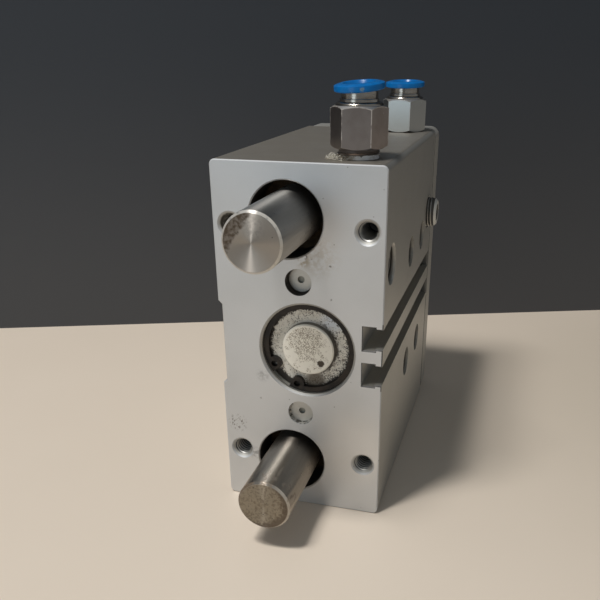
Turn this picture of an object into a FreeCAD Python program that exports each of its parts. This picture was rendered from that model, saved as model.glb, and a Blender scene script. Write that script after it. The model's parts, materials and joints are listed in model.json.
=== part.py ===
import FreeCAD, Part
import math
import os
import Sketcher

# A compact guided pneumatic cylinder, 25 mm bore and 30 mm stroke, standing on its narrow base.
# Millimetres. X is the housing's width with the sensor slots on +X, Y is the stroke, Z is up.
# The origin is the middle of the base face. The rear face looks to -Y, the yoke plate is at +Y.

doc = FreeCAD.newDocument("GuidedCylinder")
sheet = doc.addObject("Spreadsheet::Sheet", "Sizes")
rows = []


class Size:
    """A number that remembers the sheet formula it comes from."""

    def __init__(self, value, text):
        self.value = value
        self.text = text

    def joined(self, sign, other, value):
        return Size(value, "(%s %s %s)" % (self.text, sign, other.text))

    def __add__(self, other):
        other = as_size(other)
        return self.joined("+", other, self.value + other.value)

    def __sub__(self, other):
        other = as_size(other)
        return self.joined("-", other, self.value - other.value)

    def __mul__(self, other):
        other = as_size(other)
        return self.joined("*", other, self.value * other.value)

    def __truediv__(self, other):
        other = as_size(other)
        return self.joined("/", other, self.value / other.value)

    def __radd__(self, other):
        return as_size(other) + self

    def __rsub__(self, other):
        return as_size(other) - self

    def __rmul__(self, other):
        return as_size(other) * self

    def __neg__(self):
        return as_size(0) - self


def as_size(number):
    if isinstance(number, Size):
        return number
    if number < 0:
        return Size(number, "(0 - %.9g)" % -number)
    return Size(number, "%.9g" % number)


def cell(name, value):
    """Put one named size into the sheet."""
    rows.append(name)
    row = len(rows)
    sheet.set("A%d" % row, name)
    sheet.set("B%d" % row, "%g" % value)
    sheet.setAlias("B%d" % row, name)
    return Size(value, "Sizes." + name)


# Housing profile
width = cell("housing_width", 44)
length = cell("housing_length", 81)
height = cell("housing_height", 95)
corner = cell("housing_corner_radius", 1.4)
edge_break = cell("housing_edge_break", 0.25)
bore_side = cell("bore_from_slot_side", 20)
bore_d = cell("bore_diameter", 25)
bore_lead = cell("bore_lead_chamfer", 0.6)
guide_side = cell("guide_from_plain_side", 19)
guide_edge = cell("guide_from_top_and_base", 13.7)
guide_bore_lead = cell("guide_bore_lead_chamfer", 0.3)
slot_pitch = cell("sensor_slot_spacing", 10)
slot_mouth = cell("sensor_slot_mouth", 5.4)
slot_inner = cell("sensor_slot_inner_width", 6.4)
slot_depth = cell("sensor_slot_depth", 5.2)
slot_lip = cell("sensor_slot_lip", 1.9)
recess_span = cell("side_recess_height", 23.6)
recess_depth = cell("side_recess_depth", 1)

# Holes in the housing
thread_core = cell("thread_core_diameter", 5)
thread_lead = cell("thread_lead_width", 0.8)
thread_depth = cell("rear_thread_depth", 12)
thread_side = cell("thread_from_sides", 4.5)
thread_edge = cell("thread_from_top_and_base", 15.5)
centring_d = cell("centring_diameter", 7)
centring_upper = cell("upper_centring_depth", 2.6)
centring_lower = cell("lower_centring_depth", 1.5)
dimple_d = cell("centring_dimple_diameter", 1.8)
dimple_depth = cell("centring_dimple_depth", 0.8)
side_hole_drop = cell("side_hole_below_centring", 0.9)
side_hole_y = cell("side_hole_spacing_y", 21)
side_hole_from_rear = cell("side_hole_from_rear", 40.3)
side_seat_d = cell("side_seat_diameter", 9)
side_seat_depth = cell("side_seat_depth", 2.1)
port_d = cell("port_diameter", 9.8)
port_lead = cell("port_lead_width", 0.4)
port_play = cell("port_radial_clearance", 0.05)
top_port_side = cell("top_port_from_slot_side", 9.4)
top_port_depth = cell("top_port_depth", 11)
rear_port_y = cell("rear_port_from_rear", 10.3)
front_port_y = cell("front_port_from_front", 7.5)
side_port_z = cell("side_port_above_centre", 22.4)
side_port_depth = cell("side_port_depth", 13)
side_port_rear = cell("side_port_from_rear", 8.8)
side_port_front = cell("side_port_from_front", 7.5)
duct_d = cell("duct_diameter", 3.2)
duct_side = cell("duct_from_slot_side", 10.5)
duct_reach = cell("duct_end_above_centre", 5.5)

# Closures of the bore
clip_depth = cell("circlip_groove_from_face", 1.4)
clip_groove_deep = cell("circlip_groove_depth", 0.6)
clip_groove = cell("circlip_groove_width", 1.3)
clip_thick = cell("circlip_thickness", 1.2)
clip_play = cell("circlip_radial_clearance", 0.1)
clip_width = cell("circlip_radial_width", 2)
clip_lug_d = cell("circlip_lug_diameter", 4)
clip_lug_inset = cell("circlip_lug_inside_outer_edge", 0.1)
clip_eye_d = cell("circlip_eye_diameter", 1.8)
clip_lug_angle = cell("circlip_lug_angle", 21.8)
clip_gap_angle = cell("circlip_gap_angle", 230.5)
clip_gap_slope = cell("circlip_gap_slope", 0.24)
cap_play = cell("cap_radial_clearance", 0.03)
cap_inner = cell("rear_cap_inner_from_rear", 8.2)
cap_boss_d = cell("rear_cap_boss_diameter", 14)
cap_boss = cell("rear_cap_boss_height", 1.8)
cap_edge = cell("cap_edge_chamfer", 0.3)
cap_seal_d = cell("cap_seal_section", 1.7)
cushion_thick = cell("cushion_thickness", 1.2)
cushion_inset = cell("cushion_inside_neck", 0.5)
stop_gap = cell("cushion_gap_at_stops", 0.3)
flange_rear = cell("bearing_flange_inner_from_front", 5.9)
neck_wall = cell("bearing_neck_wall", 2)
rod_seal_wall = cell("rod_seal_wall", 2.6)
rod_seal_end = cell("rod_seal_end_from_front", 6.4)
bush_wall = cell("rod_bush_wall", 1.5)
bush_lip = cell("rod_bush_lip", 0.6)

# Moving parts
stroke = cell("stroke", 30)
rod_d = cell("piston_rod_diameter", 10)
guide_d = cell("guide_rod_diameter", 14)
guide_out = cell("guide_rod_beyond_rear", 23)
guide_tip = cell("guide_rod_tip_chamfer", 0.6)
run_play = cell("running_radial_clearance", 0.03)
seat_play = cell("seat_radial_clearance", 0.02)
guide_wall = cell("guide_bush_wall", 2.45)
guide_bush = cell("guide_bush_length", 18)
guide_bush_rear = cell("rear_guide_bush_from_rear", 10)
wiper_thick = cell("guide_wiper_thickness", 3)
wiper_depth = cell("guide_wiper_from_front", 0.4)
bush_gap = cell("bush_to_wiper_gap", 0.2)
piston_len = cell("piston_length", 22)
piston_play = cell("piston_radial_clearance", 0.3)
piston_edge = cell("piston_edge_chamfer", 1.3)
seal_groove_deep = cell("piston_seal_groove_depth", 2.2)
seal_groove = cell("piston_seal_groove_width", 2.8)
seal_from_end = cell("piston_seal_from_end", 1.8)
magnet_sunk = cell("magnet_below_piston", 0.2)
magnet_groove_deep = cell("magnet_groove_depth", 2.4)
magnet_groove = cell("magnet_groove_width", 3)
magnet_from_end = cell("magnet_from_rear_end", 5.8)
wear_groove_deep = cell("wear_ring_groove_depth", 1.2)
wear_groove = cell("wear_ring_groove_width", 5.6)
wear_from_end = cell("wear_ring_from_rear_end", 10.2)
rod_in_piston = cell("rod_in_piston_depth", 13)
groove_play = cell("groove_side_clearance", 0.05)
plate_thick = cell("plate_thickness", 10)
plate_gap = cell("plate_gap_when_in", 0.5)
plate_corner = cell("plate_corner_radius", 3)
plate_pocket = cell("plate_rod_pocket_depth", 1.5)
plate_lip = cell("plate_edge_chamfer", 0.6)
plate_thread_side = cell("plate_thread_from_sides", 8)
plate_thread_edge = cell("plate_thread_from_top_and_base", 19.5)

# Socket screws that hold the rods
screw_head_d = cell("screw_head_diameter", 10)
screw_head = cell("screw_head_height", 4)
screw_shank_d = cell("screw_shank_diameter", 5.94)
screw_len = cell("screw_length", 14)
screw_key = cell("screw_key_across_flats", 4)
screw_key_depth = cell("screw_key_depth", 2.2)
screw_head_play = cell("screw_head_radial_clearance", 0.5)
screw_sunk = cell("screw_head_below_face", 0.5)
screw_play = cell("screw_shank_radial_clearance", 0.23)
tap_short = cell("tapped_depth_under_screw_length", 2)

# Port plugs
plug_len = cell("plug_length", 7)
plug_key = cell("plug_key_across_flats", 5)
plug_key_depth = cell("plug_key_depth", 4)
plug_edge = cell("plug_edge_chamfer", 0.5)
plug_out = cell("front_plug_stands_out", 3)
plug_in = cell("rear_plug_sunk", 1.2)

# Push-in fittings
fit_lift_rear = cell("rear_fitting_lift", 2.35)
fit_lift_front = cell("front_fitting_lift", 0.05)
fit_turn_rear = cell("rear_fitting_turn", -23)
fit_turn_front = cell("front_fitting_turn", 25)
fit_thread = cell("fitting_thread_length", 7.5)
fit_flats = cell("fitting_across_flats", 12)
fit_hex = cell("fitting_hex_height", 9.6)
fit_hex_inset = cell("fitting_hex_end_inside_flats", 0.2)
fit_hex_past = cell("fitting_hex_cut_past_corner", 1)
fit_passage_d = cell("fitting_passage_diameter", 4.2)
tube_d = cell("tube_diameter", 6)
tube_play = cell("tube_radial_clearance", 0.08)
tube_stop = cell("tube_stop_below_hex", 3)
fit_seal_base = cell("tube_seal_above_hex_base", 1.8)
fit_seal = cell("tube_seal_height", 2.2)
claw_thick = cell("claw_ring_thickness", 0.6)
claw_gap = cell("claw_to_seal_gap", 0.1)
sleeve_wall = cell("sleeve_wall", 1.02)
sleeve_gap = cell("sleeve_to_claw_gap", 0.2)
collar_out = cell("sleeve_collar_beyond_bore", 0.4)
collar = cell("sleeve_collar_height", 1.2)
fit_neck_wall = cell("sleeve_neck_wall", 0.49)
fit_neck = cell("sleeve_neck_height", 1.9)
ring_rim = cell("release_ring_rim", 1.25)
ring_under = cell("release_ring_under_neck_top", 0.3)
ring_height = cell("release_ring_height", 2.9)
ring_over = cell("release_ring_clearance_over_neck", 0.3)
ring_edge = cell("release_ring_edge_chamfer", 0.5)
ring_lip = cell("release_ring_flat_underside", 0.3)
ring_taper = cell("release_ring_underside_rise", 1)
ring_stem_wall = cell("release_ring_stem_wall", 0.82)
ring_stem = cell("release_ring_stem_length", 5.5)
ring_travel = cell("release_ring_travel", 1)
ring_play = cell("release_ring_radial_clearance", 0.06)
ring_spare = cell("release_ring_end_clearance", 0.2)
tape_thick = cell("thread_tape_thickness", 0.35)
tape_top = cell("thread_tape_top_thickness", 0.28)
tape_band = cell("thread_tape_band", 1.1)

doc.recompute()

# Angles that the cutters leave, in degrees, and how near two places count as one
drill_angle = 118
countersink_angle = 90
hex_end_angle = 30
near = 0.01

# Places that several pieces share
centre = height / 2
half_w = width / 2
half_h = height / 2
rear = -(length / 2)
front = length / 2
bore_x = half_w - bore_side
bore_r = bore_d / 2
guide_x = guide_side - half_w
guide_half = half_h - guide_edge
guide_r = guide_d / 2
guide_bore_r = guide_r + run_play + guide_wall + seat_play
centring_z = (bore_r + guide_half - guide_bore_r) / 2
side_hole_z = centring_z - side_hole_drop
thread_x = half_w - thread_side
thread_z = half_h - thread_edge
top_port_x = half_w - top_port_side
duct_x = half_w - duct_side
clip_groove_r = bore_r + clip_groove_deep
cap_r = bore_r - cap_play
cap_groove_r = bore_r - seat_play - cap_seal_d - run_play
cap_groove = cap_seal_d + groove_play * 2
rod_r = rod_d / 2
bush_r = rod_r + bush_wall
neck_r = bush_r + neck_wall
cushion_r = neck_r - cushion_inset
rod_seal_r = rod_r + rod_seal_wall
piston_r = bore_r - piston_play
plug_r = port_d / 2 - port_play
screw_seat_d = screw_head_d + screw_head_play * 2
screw_seat = screw_head + screw_sunk
screw_pass_d = screw_shank_d + screw_play * 2
tap_r = screw_shank_d / 2 + run_play
tapped_depth = screw_len - tap_short
clip_end = clip_depth + clip_groove
piston_rear = cap_inner + cushion_thick + stop_gap
plate_inner = length + plate_gap
rod_front = plate_inner + plate_pocket
neck_end = length - piston_rear - piston_len - stroke - stop_gap - cushion_thick
zero = as_size(0)

nodes = []


def put(obj, name, size):
    """Tie one property or constraint to its formula."""
    obj.setExpression(name, as_size(size).text)


def new_body(name, at):
    body = doc.addObject("PartDesign::Body", name)
    body.Label = name
    for axis, place in zip("xyz", at):
        put(body, "Placement.Base." + axis, place)
    nodes.append(body)
    return body


def plane_of(body, role):
    return [item for item in body.Origin.OriginFeatures if item.Role == role][0]


def draw(body, role, lift=0, shift=(0, 0)):
    """A sketch on one of the body's planes, moved along and off the plane."""
    sketch = body.newObject("Sketcher::SketchObject", body.Name + "_sketch")
    sketch.AttachmentSupport = [(plane_of(body, role), "")]
    sketch.MapMode = "FlatFace"
    for axis, size in zip("xyz", (shift[0], shift[1], lift)):
        put(sketch, "AttachmentOffset.Base." + axis, size)
    return sketch


def fix_point(sketch, geometry, point, x, y):
    for kind, size in (("DistanceX", as_size(x)), ("DistanceY", as_size(y))):
        rule = Sketcher.Constraint(kind, -1, 1, geometry, point, size.value)
        number = sketch.addConstraint(rule)
        put(sketch, "Constraints[%d]" % number, size)


def outline(sketch, points):
    """A closed outline of straight edges through the given points."""
    first = sketch.GeometryCount
    count = len(points)
    corners = [FreeCAD.Vector(as_size(x).value, as_size(y).value, 0) for x, y in points]
    for i in range(count):
        sketch.addGeometry(Part.LineSegment(corners[i], corners[(i + 1) % count]), False)
    for i in range(count):
        nxt = first + (i + 1) % count
        sketch.addConstraint(Sketcher.Constraint("Coincident", first + i, 2, nxt, 1))
    for i in range(count):
        fix_point(sketch, first + i, 1, points[i][0], points[i][1])
    return sketch


def circle(sketch, x, y, diameter):
    middle = FreeCAD.Vector(as_size(x).value, as_size(y).value, 0)
    axis = FreeCAD.Vector(0, 0, 1)
    radius = as_size(diameter).value / 2
    number = sketch.addGeometry(Part.Circle(middle, axis, radius), False)
    fix_point(sketch, number, 3, x, y)
    rule = sketch.addConstraint(Sketcher.Constraint("Diameter", number, radius * 2))
    put(sketch, "Constraints[%d]" % rule, diameter)
    return sketch


def hexagon(sketch, x, y, flats):
    corners = []
    for i in range(6):
        turn = math.radians(60 * i + 30)
        reach = flats / math.sqrt(3)
        corners.append((x + reach * math.cos(turn), y + reach * math.sin(turn)))
    return outline(sketch, corners)


def feature(body, kind, sketch):
    item = body.newObject("PartDesign::" + kind, body.Name + "_" + kind.lower())
    item.Profile = sketch
    sketch.Visibility = False
    return item


def pad(body, sketch, size, back=False):
    item = feature(body, "Pad", sketch)
    put(item, "Length", size)
    item.Reversed = back
    return item


def pocket(body, sketch, size=None, back=False):
    item = feature(body, "Pocket", sketch)
    if size is None:
        item.Type = "ThroughAll"
    else:
        put(item, "Length", size)
    item.Reversed = back
    return item


def turned(body, sketch, axis="V_Axis"):
    item = feature(body, "Revolution", sketch)
    item.ReferenceAxis = (sketch, [axis])
    item.Angle = 360
    return item


def turned_cut(body, sketch, axis="V_Axis"):
    item = feature(body, "Groove", sketch)
    item.ReferenceAxis = (sketch, [axis])
    item.Angle = 360
    return item


def mirrored(body, items, role="XY_Plane"):
    item = body.newObject("PartDesign::Mirrored", body.Name + "_mirrored")
    item.Originals = items
    item.MirrorPlane = (plane_of(body, role), [""])
    body.Tip = item


def drilled(body, sketch, diameter, depth, lead, point=True):
    """Round holes with a countersunk mouth, and a drill point where they end blind."""
    doc.recompute()
    item = feature(body, "Hole", sketch)
    item.ThreadType = "None"
    put(item, "Diameter", diameter)
    if depth is None:
        item.DepthType = "ThroughAll"
    else:
        item.DepthType = "Dimension"
        put(item, "Depth", depth)
        item.DrillPoint = "Angled" if point else "Flat"
        item.DrillPointAngle = drill_angle
    if lead is not None:
        item.HoleCutType = "Countersink"
        item.HoleCutCustomValues = True
        put(item, "HoleCutDiameter", lead)
        item.HoleCutCountersinkAngle = countersink_angle
    doc.recompute()
    return item


def edges_of(item, wanted):
    """Names of the edges whose middle and direction pass the test."""
    names = []
    for number, edge in enumerate(item.Shape.Edges, 1):
        middle = edge.valueAt((edge.FirstParameter + edge.LastParameter) / 2)
        along = edge.tangentAt((edge.FirstParameter + edge.LastParameter) / 2)
        if wanted(middle, along):
            names.append("Edge%d" % number)
    return names


def rounded(body, item, names, radius):
    made = body.newObject("PartDesign::Fillet", body.Name + "_fillet")
    made.Base = (item, names)
    put(made, "Radius", radius)
    doc.recompute()
    return made


def chamfered(body, item, names, size):
    made = body.newObject("PartDesign::Chamfer", body.Name + "_chamfer")
    made.Base = (item, names)
    put(made, "Size", size)
    doc.recompute()
    return made


def turned_piece(name, at, points, lift=0):
    """A piece turned about a line along Y: each point is a radius and a place along Y."""
    body = new_body(name, at)
    item = turned(body, outline(draw(body, "XY_Plane", lift), points))
    doc.recompute()
    return body, item


def round_ring(name, at, radius, section, along):
    """A ring of round section about a line along Y."""
    body = new_body(name, at)
    turned(body, circle(draw(body, "XY_Plane"), radius, along, section))
    doc.recompute()


# Housing: an extruded profile with sensor slots on one side and a shallow recess on the other
housing = new_body("housing", (0, 0, centre))
slot_floor = half_w - slot_depth
lip_inner = half_w - slot_lip


def slot_corners(middle):
    """One undercut sensor slot, read upwards along the side face."""
    return [
        (half_w, middle - slot_mouth / 2),
        (lip_inner, middle - slot_mouth / 2),
        (lip_inner, middle - slot_inner / 2),
        (slot_floor, middle - slot_inner / 2),
        (slot_floor, middle + slot_inner / 2),
        (lip_inner, middle + slot_inner / 2),
        (lip_inner, middle + slot_mouth / 2),
        (half_w, middle + slot_mouth / 2),
    ]


profile = [(-half_w, -half_h), (half_w, -half_h)]
profile += slot_corners(-(slot_pitch / 2))
profile += slot_corners(slot_pitch / 2)
profile += [
    (half_w, half_h),
    (-half_w, half_h),
    (-half_w, recess_span / 2),
    (recess_depth - half_w, recess_span / 2 - recess_depth),
    (recess_depth - half_w, recess_depth - recess_span / 2),
    (-half_w, -(recess_span / 2)),
]
block = pad(housing, outline(draw(housing, "XZ_Plane", -front), profile), length)
doc.recompute()


def is_long_corner(middle, along):
    at_side = abs(abs(middle.x) - half_w.value) < near
    at_end = abs(abs(middle.z) - half_h.value) < near
    return at_side and at_end and abs(along.y) > 0.9


shaped = rounded(housing, block, edges_of(block, is_long_corner), corner)


def is_end_outline(middle, along):
    return abs(abs(middle.y) - front.value) < near and abs(along.y) < 0.1


shaped = chamfered(housing, shaped, edges_of(shaped, is_end_outline), edge_break)

# The bore with its lead chamfers and a circlip groove near each end
bore_points = [
    (0, rear),
    (bore_r + bore_lead, rear),
    (bore_r, rear + bore_lead),
    (bore_r, rear + clip_depth),
    (clip_groove_r, rear + clip_depth),
    (clip_groove_r, rear + clip_end),
    (bore_r, rear + clip_end),
    (bore_r, front - clip_end),
    (clip_groove_r, front - clip_end),
    (clip_groove_r, front - clip_depth),
    (bore_r, front - clip_depth),
    (bore_r, front - bore_lead),
    (bore_r + bore_lead, front),
    (0, front),
]
turned_cut(housing, outline(draw(housing, "XY_Plane", 0, (bore_x, 0)), bore_points))

# The two guide bores, above and below
guide_points = [
    (0, rear),
    (guide_bore_r + guide_bore_lead, rear),
    (guide_bore_r, rear + guide_bore_lead),
    (guide_bore_r, front - guide_bore_lead),
    (guide_bore_r + guide_bore_lead, front),
    (0, front),
]
guide_sketch = outline(draw(housing, "XY_Plane", guide_half, (guide_x, 0)), guide_points)
guide_cut = turned_cut(housing, guide_sketch)
doc.recompute()
mirrored(housing, [guide_cut])
doc.recompute()

# Four tapped holes and two centring holes in the rear face
rear_holes = draw(housing, "XZ_Plane", -rear)
for side in (-1, 1):
    for level in (-1, 1):
        circle(rear_holes, thread_x * side, thread_z * level, thread_core)
drilled(housing, rear_holes, thread_core, thread_depth, thread_core + thread_lead * 2)
for level, depth in ((1, centring_upper), (-1, centring_lower)):
    seat = circle(draw(housing, "XZ_Plane", -rear), 0, centring_z * level, centring_d)
    pocket(housing, seat, depth)
    mark = circle(draw(housing, "XZ_Plane", -rear), 0, centring_z * level, dimple_d)
    pocket(housing, mark, depth + dimple_depth)
doc.recompute()

# Four holes right through from side to side, with a centring seat at each mouth
side_first = rear + side_hole_from_rear
side_holes = draw(housing, "YZ_Plane", half_w)
for level in (-1, 1):
    for step in (0, 1):
        circle(side_holes, side_first + side_hole_y * step, side_hole_z * level, thread_core)
drilled(housing, side_holes, thread_core, None, None)
for side in (1, -1):
    seats = draw(housing, "YZ_Plane", half_w * side)
    for level in (-1, 1):
        for step in (0, 1):
            circle(seats, side_first + side_hole_y * step, side_hole_z * level, side_seat_d)
    pocket(housing, seats, side_seat_depth, side < 0)
doc.recompute()

# Air ports in the top and in the sensor side, and the ducts from them down into the bore
top_y = (rear + rear_port_y, front - front_port_y)
side_y = (rear + side_port_rear, front - side_port_front)
top_ports = draw(housing, "XY_Plane", half_h)
for place in top_y:
    circle(top_ports, top_port_x, place, port_d)
drilled(housing, top_ports, port_d, top_port_depth, port_d + port_lead * 2)
side_ports = draw(housing, "YZ_Plane", half_w)
for place in side_y:
    circle(side_ports, place, side_port_z, port_d)
drilled(housing, side_ports, port_d, side_port_depth, port_d + port_lead * 2)
ducts = draw(housing, "XY_Plane", half_h - top_port_depth / 2)
for place in top_y:
    circle(ducts, duct_x, place, duct_d)
pocket(housing, ducts, half_h - top_port_depth / 2 - duct_reach)
doc.recompute()

# Rear end cap: a disc with a raised boss and a groove for its seal
bore_rear = (bore_x, rear, centre)
bore_front = (bore_x, front, centre)
groove_mid = (clip_end + cap_inner) / 2
turned_piece("rear_end_cap", bore_rear, [
    (0, clip_end - cap_boss),
    (cap_boss_d / 2 - cap_edge, clip_end - cap_boss),
    (cap_boss_d / 2, clip_end - cap_boss + cap_edge),
    (cap_boss_d / 2, clip_end),
    (cap_r - cap_edge, clip_end),
    (cap_r, clip_end + cap_edge),
    (cap_r, groove_mid - cap_groove / 2),
    (cap_groove_r, groove_mid - cap_groove / 2),
    (cap_groove_r, groove_mid + cap_groove / 2),
    (cap_r, groove_mid + cap_groove / 2),
    (cap_r, cap_inner - cap_edge),
    (cap_r - cap_edge, cap_inner),
    (0, cap_inner),
])
seal_middle = bore_r - seat_play - cap_seal_d / 2
round_ring("rear_cap_seal", bore_rear, seal_middle, cap_seal_d, groove_mid)
turned_piece("rear_cushion", bore_rear, [
    (screw_head_d / 2, cap_inner),
    (cushion_r, cap_inner),
    (cushion_r, cap_inner + cushion_thick),
    (screw_head_d / 2, cap_inner + cushion_thick),
])

# Front bearing cap: a flange with a seal groove and a long neck that holds the rod's bush
flange_mid = (clip_end + flange_rear) / 2
turned_piece("front_bearing_cap", bore_front, [
    (rod_seal_r, -clip_end),
    (cap_r - cap_edge, -clip_end),
    (cap_r, -(clip_end + cap_edge)),
    (cap_r, cap_groove / 2 - flange_mid),
    (cap_groove_r, cap_groove / 2 - flange_mid),
    (cap_groove_r, -(flange_mid + cap_groove / 2)),
    (cap_r, -(flange_mid + cap_groove / 2)),
    (cap_r, cap_edge - flange_rear),
    (cap_r - cap_edge, -flange_rear),
    (neck_r, -flange_rear),
    (neck_r, -neck_end),
    (rod_r + stop_gap, -neck_end),
    (rod_r + stop_gap, bush_lip - neck_end),
    (bush_r, bush_lip - neck_end),
    (bush_r, -rod_seal_end),
    (rod_seal_r, -rod_seal_end),
])
round_ring("front_cap_seal", bore_front, seal_middle, cap_seal_d, -flange_mid)
turned_piece("front_cushion", bore_front, [
    (rod_r + stop_gap, -(neck_end + cushion_thick)),
    (cushion_r, -(neck_end + cushion_thick)),
    (cushion_r, -neck_end),
    (rod_r + stop_gap, -neck_end),
])
turned_piece("rod_bush", bore_front, [
    (rod_r + run_play, bush_lip - neck_end + groove_play),
    (bush_r - seat_play, bush_lip - neck_end + groove_play),
    (bush_r - seat_play, -(rod_seal_end + groove_play)),
    (rod_r + run_play, -(rod_seal_end + groove_play)),
])
seal_lip = rod_seal_wall / 4
turned_piece("rod_seal", bore_front, [
    (rod_r + run_play, -(rod_seal_end - groove_play)),
    (rod_seal_r - seat_play, -(rod_seal_end - groove_play)),
    (rod_seal_r - seat_play, -clip_end),
    (rod_r + seal_lip * 3, -clip_end),
    (rod_r + seal_lip * 2, -(clip_end + seal_lip * 2)),
    (rod_r + seal_lip, -clip_end),
    (rod_r + run_play, -clip_end),
])


def draw_turn(sketch, gap_angle, side):
    """Turn a sketch about the ring's axis to one of the two lugs."""
    put(sketch, "AttachmentOffset.Rotation.Angle", gap_angle + clip_lug_angle * side)
    return sketch


def circlip(name, at, gap_angle):
    """An open spring ring with two eyed lugs, lying across the Y direction."""
    body = new_body(name, at)
    outer_r = clip_groove_r - clip_play
    inner_r = outer_r - clip_width
    lug_circle = outer_r - clip_lug_inset - clip_lug_d / 2
    ring = draw(body, "XZ_Plane")
    circle(ring, 0, 0, outer_r * 2)
    circle(ring, 0, 0, inner_r * 2)
    pad(body, ring, clip_thick, True)
    for side in (-1, 1):
        lug = circle(draw(body, "XZ_Plane"), lug_circle, 0, clip_lug_d)
        pad(body, draw_turn(lug, gap_angle, side), clip_thick, True)
    gap = draw(body, "XZ_Plane")
    reach = outer_r * 2
    outline(gap, [(0, 0), (reach, -(reach * clip_gap_slope)), (reach, reach * clip_gap_slope)])
    put(gap, "AttachmentOffset.Rotation.Angle", gap_angle)
    pocket(body, gap)
    for side in (-1, 1):
        eye = circle(draw(body, "XZ_Plane"), lug_circle, 0, clip_eye_d)
        draw_turn(eye, gap_angle, side)
        pocket(body, eye)
    doc.recompute()


clip_rear_y = rear + clip_depth + (clip_groove - clip_thick) / 2
clip_front_y = front - clip_depth - (clip_groove + clip_thick) / 2
circlip("rear_circlip", (bore_x, clip_rear_y, centre), clip_gap_angle)
circlip("front_circlip", (bore_x, clip_front_y, centre), clip_gap_angle)

# Guide bushes, two in each guide bore, and a wiper at the front of each
guide_rear = (guide_x, rear, centre)
bush_in = guide_r + run_play
bush_out = guide_bore_r - seat_play
bush_front_end = length - wiper_depth - wiper_thick - bush_gap
bushes = new_body("guide_bushes", guide_rear)
made = []
for start in (guide_bush_rear, bush_front_end - guide_bush):
    made.append(turned(bushes, outline(draw(bushes, "XY_Plane", guide_half), [
        (bush_in, start),
        (bush_out, start),
        (bush_out, start + guide_bush),
        (bush_in, start + guide_bush),
    ])))
doc.recompute()
mirrored(bushes, made)
wiper_front = length - wiper_depth
wipers, item = turned_piece("guide_wipers", guide_rear, [
    (bush_in, wiper_front - wiper_thick),
    (bush_out, wiper_front - wiper_thick),
    (bush_out, wiper_front),
    (bush_in + wiper_thick / 3, wiper_front),
    (bush_in, wiper_front - wiper_thick / 3),
], guide_half)
mirrored(wipers, [item])
doc.recompute()

# Plugs that close the two side ports: the front one stands out, the rear one is sunk
plugs = new_body("side_plugs", (half_w, 0, centre + side_port_z))
for place, outer in ((side_y[0], -plug_in), (side_y[1], plug_out)):
    turned(plugs, outline(draw(plugs, "XY_Plane", 0, (0, place)), [
        (outer - plug_len, 0),
        (outer - plug_len, plug_r - plug_edge),
        (outer - plug_len + plug_edge, plug_r),
        (outer - plug_edge, plug_r),
        (outer, plug_r - plug_edge),
        (outer, 0),
    ]), "H_Axis")
    doc.recompute()
    pocket(plugs, hexagon(draw(plugs, "YZ_Plane", outer), place, zero, plug_key), plug_key_depth)
    doc.recompute()


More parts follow.
